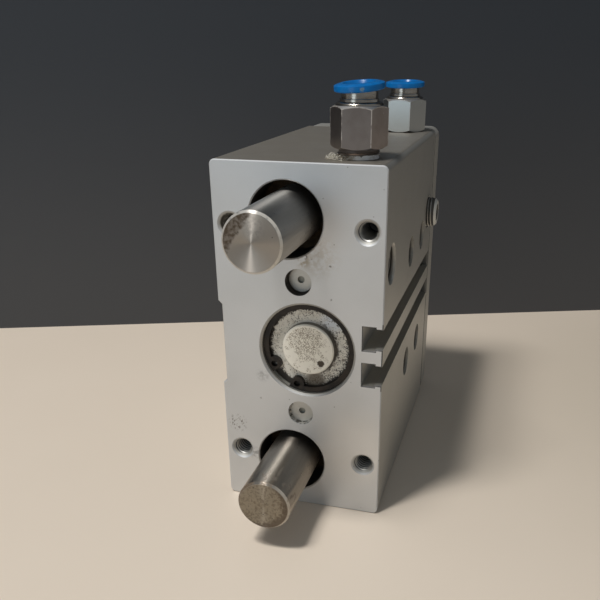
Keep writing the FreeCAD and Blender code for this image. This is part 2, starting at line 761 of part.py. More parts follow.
def push_in_fitting(end, place_y, lift, turn, taped):
    """One push-in tube fitting: body, thread tape, tube seal, claw ring, sleeve, release ring."""
    at = (top_port_x, place_y, height + lift)
    tube_r = tube_d / 2 + tube_play
    stem_r = tube_r + ring_stem_wall
    sleeve_r = stem_r + ring_play
    socket_r = sleeve_r + sleeve_wall + seat_play
    throat_r = sleeve_r + fit_neck_wall
    recess_r = throat_r + ring_over
    ring_r = recess_r + ring_rim
    body = new_body(end + "_fitting_body", at)
    put(body, "Placement.Rotation.Angle", turn)
    pad(body, hexagon(draw(body, "XY_Plane"), zero, zero, fit_flats), fit_hex)
    turned(body, outline(draw(body, "XZ_Plane"), [
        (0, -fit_thread),
        (plug_r - plug_edge, -fit_thread),
        (plug_r, plug_edge - fit_thread),
        (plug_r, fit_hex / 2),
        (0, fit_hex / 2),
    ]))
    doc.recompute()
    hex_end_r = fit_flats / 2 - fit_hex_inset
    corner_r = fit_flats / math.sqrt(3) + fit_hex_past
    drop = (corner_r - hex_end_r) * math.tan(math.radians(hex_end_angle))
    for low, rise in ((zero, 1), (fit_hex, -1)):
        turned_cut(body, outline(draw(body, "XZ_Plane"), [
            (hex_end_r, low),
            (corner_r, low),
            (corner_r, low + drop * rise),
        ]))
    turned_cut(body, outline(draw(body, "XZ_Plane"), [
        (0, -fit_thread),
        (fit_passage_d / 2, -fit_thread),
        (fit_passage_d / 2, -tube_stop),
        (tube_r, -tube_stop),
        (tube_r, fit_seal_base),
        (socket_r, fit_seal_base),
        (socket_r, fit_hex),
        (0, fit_hex),
    ]))
    doc.recompute()

    def upright(name, points):
        piece = new_body(end + name, at)
        turned(piece, outline(draw(piece, "XZ_Plane"), points))
        doc.recompute()

    if taped:
        tape_r = plug_r + seat_play
        upright("_thread_tape", [
            (tape_r, groove_play - lift),
            (tape_r + tape_thick, groove_play - lift),
            (tape_r + tape_top, tape_band - lift),
            (tape_r, tape_band - lift),
        ])
    upright("_tube_seal", [
        (tube_r, fit_seal_base),
        (socket_r - seat_play, fit_seal_base),
        (socket_r - seat_play, fit_seal_base + fit_seal),
        (tube_r, fit_seal_base + fit_seal),
    ])
    claw_base = fit_seal_base + fit_seal + claw_gap
    upright("_claw_ring", [
        (tube_r + claw_thick / 2, claw_base),
        (socket_r - seat_play, claw_base),
        (socket_r - seat_play, claw_base + claw_thick),
        (tube_r + claw_thick / 2, claw_base + claw_thick),
    ])
    sleeve_base = claw_base + claw_thick + sleeve_gap
    upright("_fitting_sleeve", [
        (sleeve_r, sleeve_base),
        (socket_r - seat_play, sleeve_base),
        (socket_r - seat_play, fit_hex),
        (socket_r + collar_out, fit_hex),
        (socket_r + collar_out, fit_hex + collar),
        (throat_r, fit_hex + collar),
        (throat_r, fit_hex + collar + fit_neck),
        (sleeve_r, fit_hex + collar + fit_neck),
    ])
    neck_top = fit_hex + collar + fit_neck
    ring_low = neck_top - ring_under
    ceiling = neck_top + ring_travel + ring_spare
    ring_top = ring_low + ring_height
    upright("_release_ring", [
        (tube_r, neck_top - ring_stem),
        (stem_r, neck_top - ring_stem),
        (stem_r, ceiling),
        (recess_r, ceiling),
        (recess_r, ring_low),
        (recess_r + ring_lip, ring_low),
        (ring_r, ring_low + ring_taper),
        (ring_r, ring_top - ring_edge),
        (ring_r - ring_edge, ring_top),
        (tube_r + ring_edge, ring_top),
        (tube_r, ring_top - ring_edge),
    ])


push_in_fitting("rear", top_y[0], fit_lift_rear, fit_turn_rear, True)
push_in_fitting("front", top_y[1], fit_lift_front, fit_turn_front, False)

# Yoke plate at the front: pockets for the rods, seats for the screws, and a hole pattern
plate = new_body("yoke_plate", (0, front + plate_gap, centre))
slab = pad(plate, outline(draw(plate, "XZ_Plane"), [
    (-half_w, -half_h),
    (half_w, -half_h),
    (half_w, half_h),
    (-half_w, half_h),
]), plate_thick, True)
doc.recompute()
slab = rounded(plate, slab, edges_of(slab, is_long_corner), plate_corner)


def is_plate_outline(middle, along):
    at_end = middle.y < near or middle.y > plate_thick.value - near
    return at_end and abs(along.y) < 0.1


chamfered(plate, slab, edges_of(slab, is_plate_outline), plate_lip)
rod_places = [
    (guide_x, guide_half, guide_d),
    (guide_x, -guide_half, guide_d),
    (bore_x, zero, rod_d),
]
pockets = draw(plate, "XZ_Plane")
passes = draw(plate, "XZ_Plane")
seats = draw(plate, "XZ_Plane", -plate_thick)
for x, z, diameter in rod_places:
    circle(pockets, x, z, diameter + seat_play * 2)
    circle(passes, x, z, screw_pass_d)
    circle(seats, x, z, screw_seat_d)
pocket(plate, pockets, plate_pocket)
pocket(plate, passes)
pocket(plate, seats, screw_seat, True)
plate_threads = draw(plate, "XZ_Plane", -plate_thick)
plate_thread_x = half_w - plate_thread_side
plate_thread_z = half_h - plate_thread_edge
for side in (-1, 1):
    for level in (-1, 1):
        circle(plate_threads, plate_thread_x * side, plate_thread_z * level, thread_core)
pocket(plate, plate_threads, None, True)
plate_centring = draw(plate, "XZ_Plane", -plate_thick)
for level in (-1, 1):
    circle(plate_centring, 0, plate_thread_z * level / 2, centring_d)
pocket(plate, plate_centring, centring_lower, True)
doc.recompute()

# Guide rods, tapped at the front end
guides, item = turned_piece("guide_rods", guide_rear, [
    (0, -guide_out),
    (guide_r - guide_tip, -guide_out),
    (guide_r, guide_tip - guide_out),
    (guide_r, rod_front - guide_tip),
    (guide_r - guide_tip, rod_front),
    (tap_r, rod_front),
    (tap_r, rod_front - tapped_depth),
    (0, rod_front - tapped_depth),
], guide_half)
mirrored(guides, [item])
doc.recompute()

# Piston rod, tapped at both ends
rod_rear = piston_rear + piston_len - rod_in_piston
turned_piece("piston_rod", bore_rear, [
    (tap_r, rod_rear),
    (rod_r - guide_tip, rod_rear),
    (rod_r, rod_rear + guide_tip),
    (rod_r, rod_front - guide_tip),
    (rod_r - guide_tip, rod_front),
    (tap_r, rod_front),
    (tap_r, rod_front - tapped_depth),
    (0, rod_front - tapped_depth),
    (0, rod_rear + tapped_depth),
    (tap_r, rod_rear + tapped_depth),
])

# Piston with grooves for two seals, a magnet ring and a wear ring
piston_front = piston_rear + piston_len
seal_a = piston_rear + seal_from_end
seal_b = piston_front - seal_from_end - seal_groove
magnet_y = piston_rear + magnet_from_end
wear_y = piston_rear + wear_from_end
piston_points = [
    (screw_seat_d / 2, piston_rear),
    (piston_r - piston_edge, piston_rear),
    (piston_r, piston_rear + piston_edge),
]
piston_grooves = (
    (seal_a, seal_groove, piston_r - seal_groove_deep),
    (magnet_y, magnet_groove, piston_r - magnet_groove_deep),
    (wear_y, wear_groove, piston_r - wear_groove_deep),
    (seal_b, seal_groove, piston_r - seal_groove_deep),
)
for start, span, bottom_r in piston_grooves:
    piston_points += [
        (piston_r, start),
        (bottom_r, start),
        (bottom_r, start + span),
        (piston_r, start + span),
    ]
rod_hole_r = rod_r + seat_play
piston_points += [
    (piston_r, piston_front - piston_edge / 2),
    (piston_r - piston_edge / 2, piston_front),
    (rod_hole_r, piston_front),
    (rod_hole_r, rod_rear),
    (screw_pass_d / 2, rod_rear),
    (screw_pass_d / 2, piston_rear + screw_seat),
    (screw_seat_d / 2, piston_rear + screw_seat),
]
turned_piece("piston", bore_rear, piston_points)


def groove_ring(name, rings, outer_r):
    """Rings of square section that lie in the piston's grooves."""
    body = new_body(name, bore_rear)
    for start, span, bottom_r in rings:
        low = start + groove_play
        high = start + span - groove_play
        turned(body, outline(draw(body, "XY_Plane"), [
            (bottom_r + seat_play, low),
            (outer_r, low),
            (outer_r, high),
            (bottom_r + seat_play, high),
        ]))
        doc.recompute()


groove_ring("piston_seals", (piston_grooves[0], piston_grooves[3]), bore_r - run_play)
groove_ring("piston_magnet", (piston_grooves[1],), piston_r - magnet_sunk)
groove_ring("piston_wear_ring", (piston_grooves[2],), bore_r - run_play)

# Socket screws: one into each rod through the plate, and one through the piston
screws = new_body("socket_screws", (0, rear, centre))
plate_seat = plate_inner + plate_thick - screw_seat
screw_places = [(x, z, plate_seat, 1) for x, z, diameter in rod_places]
screw_places.append((bore_x, zero, piston_rear + screw_seat, -1))
for x, z, seat_y, way in screw_places:
    turned(screws, outline(draw(screws, "XY_Plane", z, (x, 0)), [
        (0, seat_y - screw_len * way),
        (screw_shank_d / 2 - plug_edge, seat_y - screw_len * way),
        (screw_shank_d / 2, seat_y - (screw_len - plug_edge) * way),
        (screw_shank_d / 2, seat_y),
        (screw_head_d / 2, seat_y),
        (screw_head_d / 2, seat_y + (screw_head - cap_edge) * way),
        (screw_head_d / 2 - cap_edge, seat_y + screw_head * way),
        (0, seat_y + screw_head * way),
    ]))
    doc.recompute()
    key = draw(screws, "XZ_Plane", -(seat_y + screw_head * way))
    pocket(screws, hexagon(key, x, z, screw_key), screw_key_depth, way > 0)
    doc.recompute()

doc.recompute()

# Every piece is checked and written out under its own name
os.makedirs("parts", exist_ok=True)
for item in doc.Objects:
    for word in ("Invalid", "Error"):
        if word in item.State:
            raise RuntimeError("%s is %s" % (item.Name, item.State))
for body in nodes:
    shape = body.Shape
    if shape.isNull() or not shape.isValid():
        raise RuntimeError("%s has no sound shape" % body.Label)
    box = shape.BoundBox
    print("%-22s solids %d  volume %9.1f  x %.2f..%.2f  y %.2f..%.2f  z %.2f..%.2f" % (
        body.Label, len(shape.Solids), shape.Volume,
        box.XMin, box.XMax, box.YMin, box.YMax, box.ZMin, box.ZMax))
    shape.exportStep("parts/%s.step" % body.Label)
print("pieces", len(nodes))
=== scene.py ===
# %% [markdown]
# A guided pneumatic cylinder: a satin block of aluminium with two guide rods, an end cap
# behind a circlip, sensor slots down one side and two push-in air fittings on top. The CAD
# model arrives as a fixed frame, in metres and at real size. This lesson lights it, gives every
# piece a finish made of nodes, and adds the small shapes that a solid model leaves out.

# %% Load the packed model
import json
import math
import random
import bmesh
import bpy
from mathutils import Matrix, Vector, noise


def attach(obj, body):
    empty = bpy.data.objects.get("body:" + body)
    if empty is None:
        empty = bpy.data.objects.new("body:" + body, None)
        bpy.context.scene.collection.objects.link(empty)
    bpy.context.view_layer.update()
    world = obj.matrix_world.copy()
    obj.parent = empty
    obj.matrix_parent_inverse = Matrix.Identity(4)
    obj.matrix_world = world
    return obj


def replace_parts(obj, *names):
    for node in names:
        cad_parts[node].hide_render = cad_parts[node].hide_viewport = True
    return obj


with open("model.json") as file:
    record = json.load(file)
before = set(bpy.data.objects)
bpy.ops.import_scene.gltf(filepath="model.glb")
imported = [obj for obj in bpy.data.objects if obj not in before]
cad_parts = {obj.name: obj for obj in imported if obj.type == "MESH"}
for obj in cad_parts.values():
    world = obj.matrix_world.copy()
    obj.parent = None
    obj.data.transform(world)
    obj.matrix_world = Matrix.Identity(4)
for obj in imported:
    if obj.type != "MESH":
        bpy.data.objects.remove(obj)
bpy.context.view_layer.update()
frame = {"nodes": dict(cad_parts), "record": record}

MM = 0.001

# %% [markdown]
# The camera stands a little to the right of the rear face and looks down on it. Its place, lens
# and shift come from matching the block's corners to the photograph. A shift slides the
# picture without turning the camera, so upright edges keep their lean.

# %% Camera
EYE_MM = (51.87, -202.18, 119.10)
AZIMUTH = 15.175
ELEVATION = 25.082
LENS_MM = 42.34
SHIFT = (-0.0484, 0.1294)

camera = bpy.data.objects.new("camera", bpy.data.cameras.new("camera"))
camera.location = Vector(EYE_MM) * MM
camera.rotation_euler = (math.radians(90 - ELEVATION), 0, math.radians(AZIMUTH))
camera.data.lens = LENS_MM
camera.data.shift_x, camera.data.shift_y = SHIFT
camera.data.clip_start = MM
bpy.context.scene.collection.objects.link(camera)
bpy.context.scene.camera = camera
print("camera", [round(place, 3) for place in camera.location])

# %% [markdown]
# Bare metal looks like what it reflects, so the surroundings matter as much as the lamps. A pale
# table top throws light up on the rear face, and a slate wall behind the object darkens the
# top and the slot side. Each is one grid moved into place. The wall is see-through from behind,
# so that the object can be looked at from every side.

# %% Table and wall
TABLE_WIDE = 2.4
TABLE_FRONT = -0.42
TABLE_BACK = 1.2
TABLE_DROP = 0.02 * MM
WALL_FOOT = (0, 0.121, 0)
WALL_TURN = 20.2
WALL_LEFT = -1.2
WALL_RIGHT = 0.37
WALL_TALL = 2.4


def stage_sheet(name, wide, deep, place):
    """A flat sheet, laid out by the given matrix."""
    bm = bmesh.new()
    bmesh.ops.create_grid(bm, x_segments=1, y_segments=1, size=0.5)
    bmesh.ops.scale(bm, vec=(wide, deep, 1), verts=bm.verts)
    bmesh.ops.transform(bm, matrix=place, verts=bm.verts)
    mesh = bpy.data.meshes.new(name)
    bm.to_mesh(mesh)
    bm.free()
    sheet = bpy.data.objects.new(name, mesh)
    bpy.context.scene.collection.objects.link(sheet)
    return sheet


foot = Matrix.Translation(WALL_FOOT)
swing = Matrix.Rotation(math.radians(WALL_TURN), 4, "Z")
upright = Matrix.Rotation(math.radians(90), 4, "X")
stand = Matrix.Translation(((WALL_LEFT + WALL_RIGHT) / 2, 0, WALL_TALL / 2)) @ upright
middle = Matrix.Translation((0, (TABLE_FRONT + TABLE_BACK) / 2, -TABLE_DROP))
table = stage_sheet("table", TABLE_WIDE, TABLE_BACK - TABLE_FRONT, middle)
wall = stage_sheet("wall", WALL_RIGHT - WALL_LEFT, WALL_TALL, foot @ swing @ stand)
print("table", TABLE_WIDE, "m wide, wall turned by", WALL_TURN, "degrees")

# %% [markdown]
# A finish here is a Principled shader fed by patterns. The Finish helper keeps the pattern's
# place in millimetres, so a noise of scale 5 has five lumps to a millimetre whatever the
# piece. Colour, roughness, metalness and relief each start as plain numbers and gather layers.


# %% Finish helper
class Finish:
    """A material whose colour, roughness and relief are built up in layers."""

    def __init__(self, name, colour, metallic, roughness):
        self.material = bpy.data.materials.new(name)
        self.material.use_nodes = True
        self.tree = self.material.node_tree
        self.shader = self.tree.nodes["Principled BSDF"]
        self.colour = (*colour, 1.0)
        self.metallic = metallic
        self.roughness = roughness
        self.height = None
        place = self.add("TexCoord").outputs["Object"]
        self.place = self.vector("MULTIPLY", place, (1 / MM, 1 / MM, 1 / MM))

    def add(self, kind, **settings):
        node = self.tree.nodes.new("ShaderNode" + kind)
        for setting, value in settings.items():
            setattr(node, setting, value)
        return node

    def feed(self, socket, value):
        if isinstance(value, bpy.types.NodeSocket):
            self.tree.links.new(value, socket)
        else:
            socket.default_value = value

    def math(self, operation, first, second):
        node = self.add("Math", operation=operation)
        self.feed(node.inputs[0], first)
        self.feed(node.inputs[1], second)
        return node.outputs[0]

    def vector(self, operation, first, second):
        node = self.add("VectorMath", operation=operation)
        self.feed(node.inputs[0], first)
        self.feed(node.inputs[1], second)
        single = operation in ("DISTANCE", "LENGTH", "DOT_PRODUCT")
        return node.outputs["Value" if single else "Vector"]

    def along(self, axis):
        """How far along X, Y or Z a point is, in millimetres."""
        node = self.add("SeparateXYZ")
        self.feed(node.inputs[0], self.place)
        return node.outputs[axis]

    def noise(self, scale, detail=2.0, stretch=(1, 1, 1)):
        """Soft random values, drawn out along an axis whose stretch is small."""
        node = self.add("TexNoise")
        self.feed(node.inputs["Vector"], self.vector("MULTIPLY", self.place, stretch))
        node.inputs["Scale"].default_value = scale
        node.inputs["Detail"].default_value = detail
        return node.outputs[0]

    def dots(self, scale, size):
        """Round dots, `scale` to a millimetre at most, as wide as `size` of their spacing."""
        node = self.add("TexVoronoi")
        self.feed(node.inputs["Vector"], self.place)
        node.inputs["Scale"].default_value = scale
        return self.band(node.outputs["Distance"], size, size / 2)

    def band(self, value, start, end):
        """A soft step from 0 at start to 1 at end."""
        node = self.add("MapRange", interpolation_type="SMOOTHSTEP")
        self.feed(node.inputs["Value"], value)
        node.inputs["From Min"].default_value = start
        node.inputs["From Max"].default_value = end
        return node.outputs["Result"]

    def near(self, spot, reach, soft):
        """1 within reach of a spot, fading out over the soft distance."""
        return self.band(self.vector("DISTANCE", self.place, spot), reach + soft, reach)

    def both(self, first, second):
        return self.math("MULTIPLY", first, second)

    def flip(self, mask):
        """1 where the mask is 0, and 0 where it is 1."""
        return self.math("SUBTRACT", 1.0, mask)

    def apart(self, axis, middle=0.0):
        """How far from the middle a point lies along an axis, to either side."""
        return self.math("ABSOLUTE", self.math("SUBTRACT", self.along(axis), middle), 0.0)

    def facing(self, direction):
        """1 where the surface faces a direction, 0 where it lies along it."""
        normal = self.add("NewGeometry").outputs["Normal"]
        return self.vector("DOT_PRODUCT", normal, direction)

    def tint(self, mask, colour, blend="MIX"):
        """Lay a colour over the mask, or multiply by it."""
        node = self.add("Mix", data_type="RGBA", blend_type=blend)
        self.feed(node.inputs[0], mask)
        self.feed(node.inputs[6], self.colour)
        self.feed(node.inputs[7], (*colour, 1.0))
        self.colour = node.outputs[2]

    def roughen(self, mask, amount):
        self.roughness = self.math("ADD", self.roughness, self.both(mask, amount))

    def soil_and_painted_light(self, mask, colour, rough):
        """A layer of dirt or rust, or a patch of painted shade or highlight: its own colour, less metal,
        another gloss.
        """
        self.tint(mask, colour)
        self.metallic = self.both(self.metallic, self.flip(mask))
        self.roughen(mask, rough)

    def relief(self, mask, height):
        """Raise the surface by so many millimetres where the mask is."""
        lift = self.both(mask, height)
        self.height = lift if self.height is None else self.math("ADD", self.height, lift)

    def done(self):
        self.feed(self.shader.inputs["Base Color"], self.colour)
        self.feed(self.shader.inputs["Metallic"], self.metallic)
        self.feed(self.shader.inputs["Roughness"], self.roughness)
        if self.height is not None:
            bump = self.add("Bump")
            bump.inputs["Distance"].default_value = MM
            self.feed(bump.inputs["Height"], self.height)
            self.feed(self.shader.inputs["Normal"], bump.outputs["Normal"])
        return self.material


print("helper ready:", [name for name in vars(Finish) if not name.startswith("_")])

# %% [markdown]
# The table has a faint cloudiness, a soft sheen and a darker patch to the right of and behind the
# object, which is painted shade. The wall is lighter towards its foot, which is painted light, and
# shows its colour only from the front: a Mix Shader swaps it for a transparent shader where the
# camera meets its back. This is a stage trick and no part of the object uses it.

# %% Stage finishes
TABLE_COLOUR = (0.77, 0.665, 0.55)
WALL_COLOUR = (0.022, 0.028, 0.037)

table_top = Finish("table_top", TABLE_COLOUR, 0.0, 0.55)
table_top.tint(table_top.noise(0.02), (0.80, 0.695, 0.58))
# Darker patch to the right of and behind the object: painted shade.
table_top.tint(table_top.near((150, 60, 0), 40, 130), (0.85, 0.85, 0.83), "MULTIPLY")
table_top.relief(table_top.noise(1.5), 0.01)
table.data.materials.append(table_top.done())

slate = Finish("slate_wall", WALL_COLOUR, 0.0, 0.7)
# Lighter towards the foot of the wall: painted light.
slate.tint(slate.band(slate.along("Z"), 150, 0), (0.062, 0.063, 0.067))
wall.data.materials.append(slate.done())
see_through = slate.add("MixShader")
slate.feed(see_through.inputs[0], slate.add("NewGeometry").outputs["Backfacing"])
slate.feed(see_through.inputs[1], slate.shader.outputs[0])
slate.feed(see_through.inputs[2], slate.add("BsdfTransparent").outputs[0])
slate.feed(slate.tree.nodes["Material Output"].inputs["Surface"], see_through.outputs[0])
print("stage", table_top.material.name, slate.material.name)

# %% [markdown]
# The shadow in the photograph falls a little to the right and away from the viewer and has two
# edges, a short one and a longer one. So two square lamps hang high up, in front and to the
# left, one lower than the other. Their sizes set how soft each edge is. A weak, cool panel past
# the front of the table keeps the rear face neutral, and the world adds a low, even grey.

# %% Lamps and world
LAMP_TARGET_MM = (0, -10, 50)
WARM_WHITE = (1.0, 0.985, 0.96)
COOL_WHITE = (0.74, 0.89, 1.0)
ROOM_GREY = (0.183, 0.198, 0.211, 1)


def soft_lamp(name, place_mm, wide, tall, watts, colour):
    """An area lamp that faces the middle of the object."""
    lamp = bpy.data.objects.new(name, bpy.data.lights.new(name, "AREA"))
    lamp.data.shape = "RECTANGLE"
    lamp.data.size = wide
    lamp.data.size_y = tall
    lamp.data.energy = watts
    lamp.data.color = colour
    lamp.location = Vector(place_mm) * MM
    facing = Vector(LAMP_TARGET_MM) * MM - lamp.location
    lamp.rotation_euler = facing.to_track_quat("-Z", "Y").to_euler()
    bpy.context.scene.collection.objects.link(lamp)


soft_lamp("ceiling_light", (-232, -356, 1180), 0.12, 0.12, 5.5, WARM_WHITE)
soft_lamp("lower_light", (-285, -340, 900), 0.17, 0.17, 3.3, WARM_WHITE)
soft_lamp("front_panel", (-260, -660, 130), 0.26, 0.26, 0.30, COOL_WHITE)

world = bpy.data.worlds.new("room")
world.use_nodes = True
world.node_tree.nodes["Background"].inputs["Color"].default_value = ROOM_GREY
bpy.context.scene.world = world
bpy.context.scene.view_settings.view_transform = "Standard"

# %% [markdown]
# The housing is sawn from an extruded bar and clear anodised. The long faces take a darker colour
# than the sawn ends, which is partly the surface and partly painted shade on the top and slot side,
# and a lighter patch low on the right of the rear face is painted light. The die leaves fine lines
# along the stroke, which show on the long faces. On the sawn ends the same stretched noise reads as
# a fine speckle. Handling has left a few stains, scratches and dark specks on the rear face, and
# each is a soft spot placed in millimetres and broken up by noise.

# %% Housing finish
MIDDLE_Z = 47.5
TOP_Z = 95.0
REAR_Y = -40.5
SIDE_X = 22.0
BORE_AXIS = (2.0, 0.0, MIDDLE_Z)
# The long faces' colour is darker than the sawn ends': partly the surface, partly painted shade on the top
# and slot side.
EXTRUDED_SHADED = (0.575, 0.565, 0.53)
SAWN = (0.655, 0.665, 0.675)
STAIN = (0.42, 0.36, 0.27)
GRIME = (0.10, 0.085, 0.07)


def satin_layers(finish):
    """Cloudiness, die lines and a soft sheen, shared by the housing and the plate."""
    cloud = finish.noise(0.06, 3)
    lines = finish.noise(1.0, 3, (5, 0.1, 5))
    finish.tint(finish.band(cloud, 0.35, 0.75), (0.95, 0.95, 0.945), "MULTIPLY")
    finish.tint(finish.both(finish.band(lines, 0.5, 0.8), 0.35), (0.85, 0.84, 0.83), "MULTIPLY")
    finish.roughen(lines, 0.12)
    finish.roughen(cloud, 0.08)
    finish.relief(lines, 0.006)
    finish.relief(finish.noise(9.0, 1), 0.003)


def rear_mark(finish, x, z, reach, soft, colour, amount):
    """A stain on the rear face, ragged at its edge."""
    ragged = finish.band(finish.noise(1.1, 4), 0.38, 0.62)
    spot = finish.both(finish.near((x, REAR_Y, z), reach, soft), ragged)
    finish.soil_and_painted_light(finish.both(spot, amount), colour, 0.1)


housing = Finish("satin_housing", EXTRUDED_SHADED, 0.97, 0.40)
at_ends = housing.band(housing.apart("Y"), 39.9, 40.3)
housing.tint(at_ends, SAWN)
# A lighter patch low on the right of the rear face: painted light.
rubbed_and_lit = housing.both(housing.near((15, REAR_Y, 21), 4, 12), at_ends)
housing.tint(housing.both(rubbed_and_lit, 0.6), (0.80, 0.775, 0.74))
housing.metallic = housing.math("SUBTRACT", housing.metallic, housing.both(at_ends, 0.07))
satin_layers(housing)
rear_mark(housing, 4.9, 72.9, 1.5, 6.0, STAIN, 0.35)
rear_mark(housing, 1.5, 71.4, 0.6, 1.4, STAIN, 0.8)
rear_mark(housing, 1.9, 72.6, 0.3, 0.5, GRIME, 1.0)
rear_mark(housing, -10.4, 39.2, 0.4, 2.0, GRIME, 0.4)
rear_mark(housing, -13.9, 14.6, 0.6, 2.0, GRIME, 0.5)
rear_mark(housing, -11.3, 32.2, 0.1, 0.35, GRIME, 0.5)
rear_mark(housing, 8.3, 70.6, 0.2, 0.25, GRIME, 1.0)
rear_mark(housing, 8.5, 62.1, 0.2, 0.25, GRIME, 1.0)
scratched = housing.near((-18.4, REAR_Y, 23.6), 1.2, 2.2)
hatching = housing.band(housing.noise(1.0, 2, (3.2, 1, 1.5)), 0.56, 0.62)
housing.soil_and_painted_light(housing.both(scratched, hatching), (0.22, 0.20, 0.18), 0.1)
housing.relief(housing.both(scratched, hatching), -0.03)
specks = housing.both(housing.dots(0.22, 0.05), housing.noise(0.09))
housing.soil_and_painted_light(specks, GRIME, 0.1)
print("housing finish nodes", len(housing.tree.nodes))

# %% [markdown]
# Painted shade darkens the hollows: between the turns of the tapped holes, where it has a bluish
# cast, on the walls and floors of the centring seats, in the side holes and ports, in the tapped
# hole behind the upper rod, and inside the guide bores. Such holes lie evenly about a middle point,
# so taking absolute values folds them on to one another, and one distance serves them all.

# %% Painted shade in the holes
ACROSS_Y = (1, 0, 1)
ACROSS_X = (0, 1, 1)
ACROSS_Z = (1, 1, 0)
GUIDE_X = -3.0
GUIDE_HALF = 33.8
THREAD_X = 17.5
THREAD_Z = 32.0
SEAT_HALF = 18.4
SIDE_HOLE_Y = (-0.2, 20.8)
SIDE_HOLE_Z = 17.5
PORT_Y = (-31.7, 33.0)
PORT_Z = 69.9
BLUE_BLACK = (0.030, 0.028, 0.045)
WALL_SHADE = (0.045, 0.038, 0.028)


def middle_and_half(first, last):
    """The middle of two places on a line, and half the way between them."""
    return (first + last) / 2, (last - first) / 2


def radius_about_folded(finish, middle, half_pitch, across):
    """Distance from the nearest of several lines that lie evenly about a middle point."""
    folded = finish.vector("ABSOLUTE", finish.vector("SUBTRACT", finish.place, middle), (0, 0, 0))
    offset = finish.vector("SUBTRACT", folded, half_pitch)
    return finish.vector("LENGTH", finish.vector("MULTIPLY", offset, across), (0, 0, 0))


def radius_about(finish, axis):
    """Distance from a line along Y through the given point, in millimetres."""
    offset = finish.vector("SUBTRACT", finish.place, axis)
    return finish.vector("LENGTH", finish.vector("MULTIPLY", offset, ACROSS_Y), (0, 0, 0))


def between(finish, value, low, high, soft):
    """1 from low to high, fading out over the soft distance at each end."""
    return finish.both(finish.band(value, low - soft, low), finish.band(value, high + soft, high))


def bevelled(finish):
    """1 where the surface leans halfway between the rear face and the stroke."""
    lean = finish.math("ABSOLUTE", finish.facing((0, 1, 0)), 0.0)
    return between(finish, lean, 0.5, 0.85, 0.08)


depth = housing.math("SUBTRACT", housing.along("Y"), REAR_Y)
tapped = radius_about_folded(housing, (0, 0, MIDDLE_Z), (THREAD_X, 0, THREAD_Z), ACROSS_Y)
leads = housing.both(between(housing, tapped, 2.5, 3.4, 0.1), housing.band(depth, 1.0, 0.9))
housing.roughen(housing.both(leads, bevelled(housing)), 0.2)
# Painted shade between the turns of the tapped holes, with a bluish cast.
roots = between(housing, tapped, 2.42, 2.6, 0.2)
roots = housing.both(roots, between(housing, depth, 1.0, 12.6, 0.3))
housing.soil_and_painted_light(roots, BLUE_BLACK, 0.0)

seats = radius_about_folded(housing, (0, 0, MIDDLE_Z), (0, 0, SEAT_HALF), ACROSS_Y)
upper = housing.band(housing.along("Z"), MIDDLE_Z - 2, MIDDLE_Z + 2)
# Painted shade on the seat walls, broken by noise and heavier on the upper seat.
seat_shade_noise = housing.math("ADD", housing.noise(1.3, 4), housing.both(upper, 0.25))
seat_wall = between(housing, seats, 3.35, 3.6, 0.35)
seat_wall = housing.both(seat_wall, between(housing, depth, 0.3, 3.0, 0.2))
seat_wall = housing.both(seat_wall, housing.band(seat_shade_noise, 0.42, 0.62))
housing.soil_and_painted_light(seat_wall, (0.045, 0.038, 0.030), 0.1)
# Painted shade on the floor of each seat.
dimple = housing.both(housing.band(seats, 1.0, 0.8), between(housing, depth, 1.4, 4.0, 0.2))
housing.soil_and_painted_light(housing.both(dimple, 0.6), (0.20, 0.20, 0.155), 0.1)

side_middle, side_half = middle_and_half(*SIDE_HOLE_Y)
side_holes = radius_about_folded(housing, (0, side_middle, MIDDLE_Z),
                                 (0, side_half, SIDE_HOLE_Z), ACROSS_X)
# Painted shade in the side holes' threads and on their seat walls.
side_roots = between(housing, side_holes, 2.42, 2.6, 0.2)
housing.soil_and_painted_light(housing.both(side_roots, 0.85), (0.05, 0.042, 0.032), 0.0)
side_depth = housing.math("SUBTRACT", SIDE_X, housing.apart("X"))
side_wall = between(housing, side_holes, 4.35, 4.6, 0.1)
side_wall = housing.both(side_wall, housing.band(side_depth, 0.35, 1.0))
housing.soil_and_painted_light(housing.both(side_wall, 0.85), WALL_SHADE, 0.1)
port_middle, port_half = middle_and_half(*PORT_Y)
port = radius_about_folded(housing, (0, port_middle, PORT_Z), (0, port_half, 0), ACROSS_X)
# Painted shade on the port walls.
port_wall = between(housing, port, 4.3, 5.3, 0.1)
port_wall = housing.both(port_wall, housing.band(side_depth, 0.35, 0.9))
housing.soil_and_painted_light(housing.both(port_wall, 0.85), WALL_SHADE, 0.1)

# Painted shade inside the tapped hole behind the upper rod, mottled by noise.
shaded_hole = housing.near((-THREAD_X, REAR_Y + 4, MIDDLE_Z + THREAD_Z), 5.2, 0.3)
shaded_hole = housing.both(shaded_hole, housing.band(tapped, 2.75, 2.65))
shaded_hole = housing.both(shaded_hole, housing.band(depth, 0.3, 0.7))
shaded_hole = housing.both(shaded_hole, housing.band(housing.noise(1.1, 5), 0.25, 0.5))
housing.soil_and_painted_light(housing.both(shaded_hole, 0.9), (0.05, 0.045, 0.033), 0.1)
guide_bores = radius_about_folded(housing, (GUIDE_X, 0, MIDDLE_Z), (0, 0, GUIDE_HALF), ACROSS_Y)
# Painted shade inside the guide bores.
bore_shade = housing.both(housing.band(guide_bores, 9.7, 9.6), housing.band(depth, 0.3, 0.6))
housing.soil_and_painted_light(bore_shade, (0.012, 0.011, 0.010), 0.2)
print("housing finish nodes", len(housing.tree.nodes))

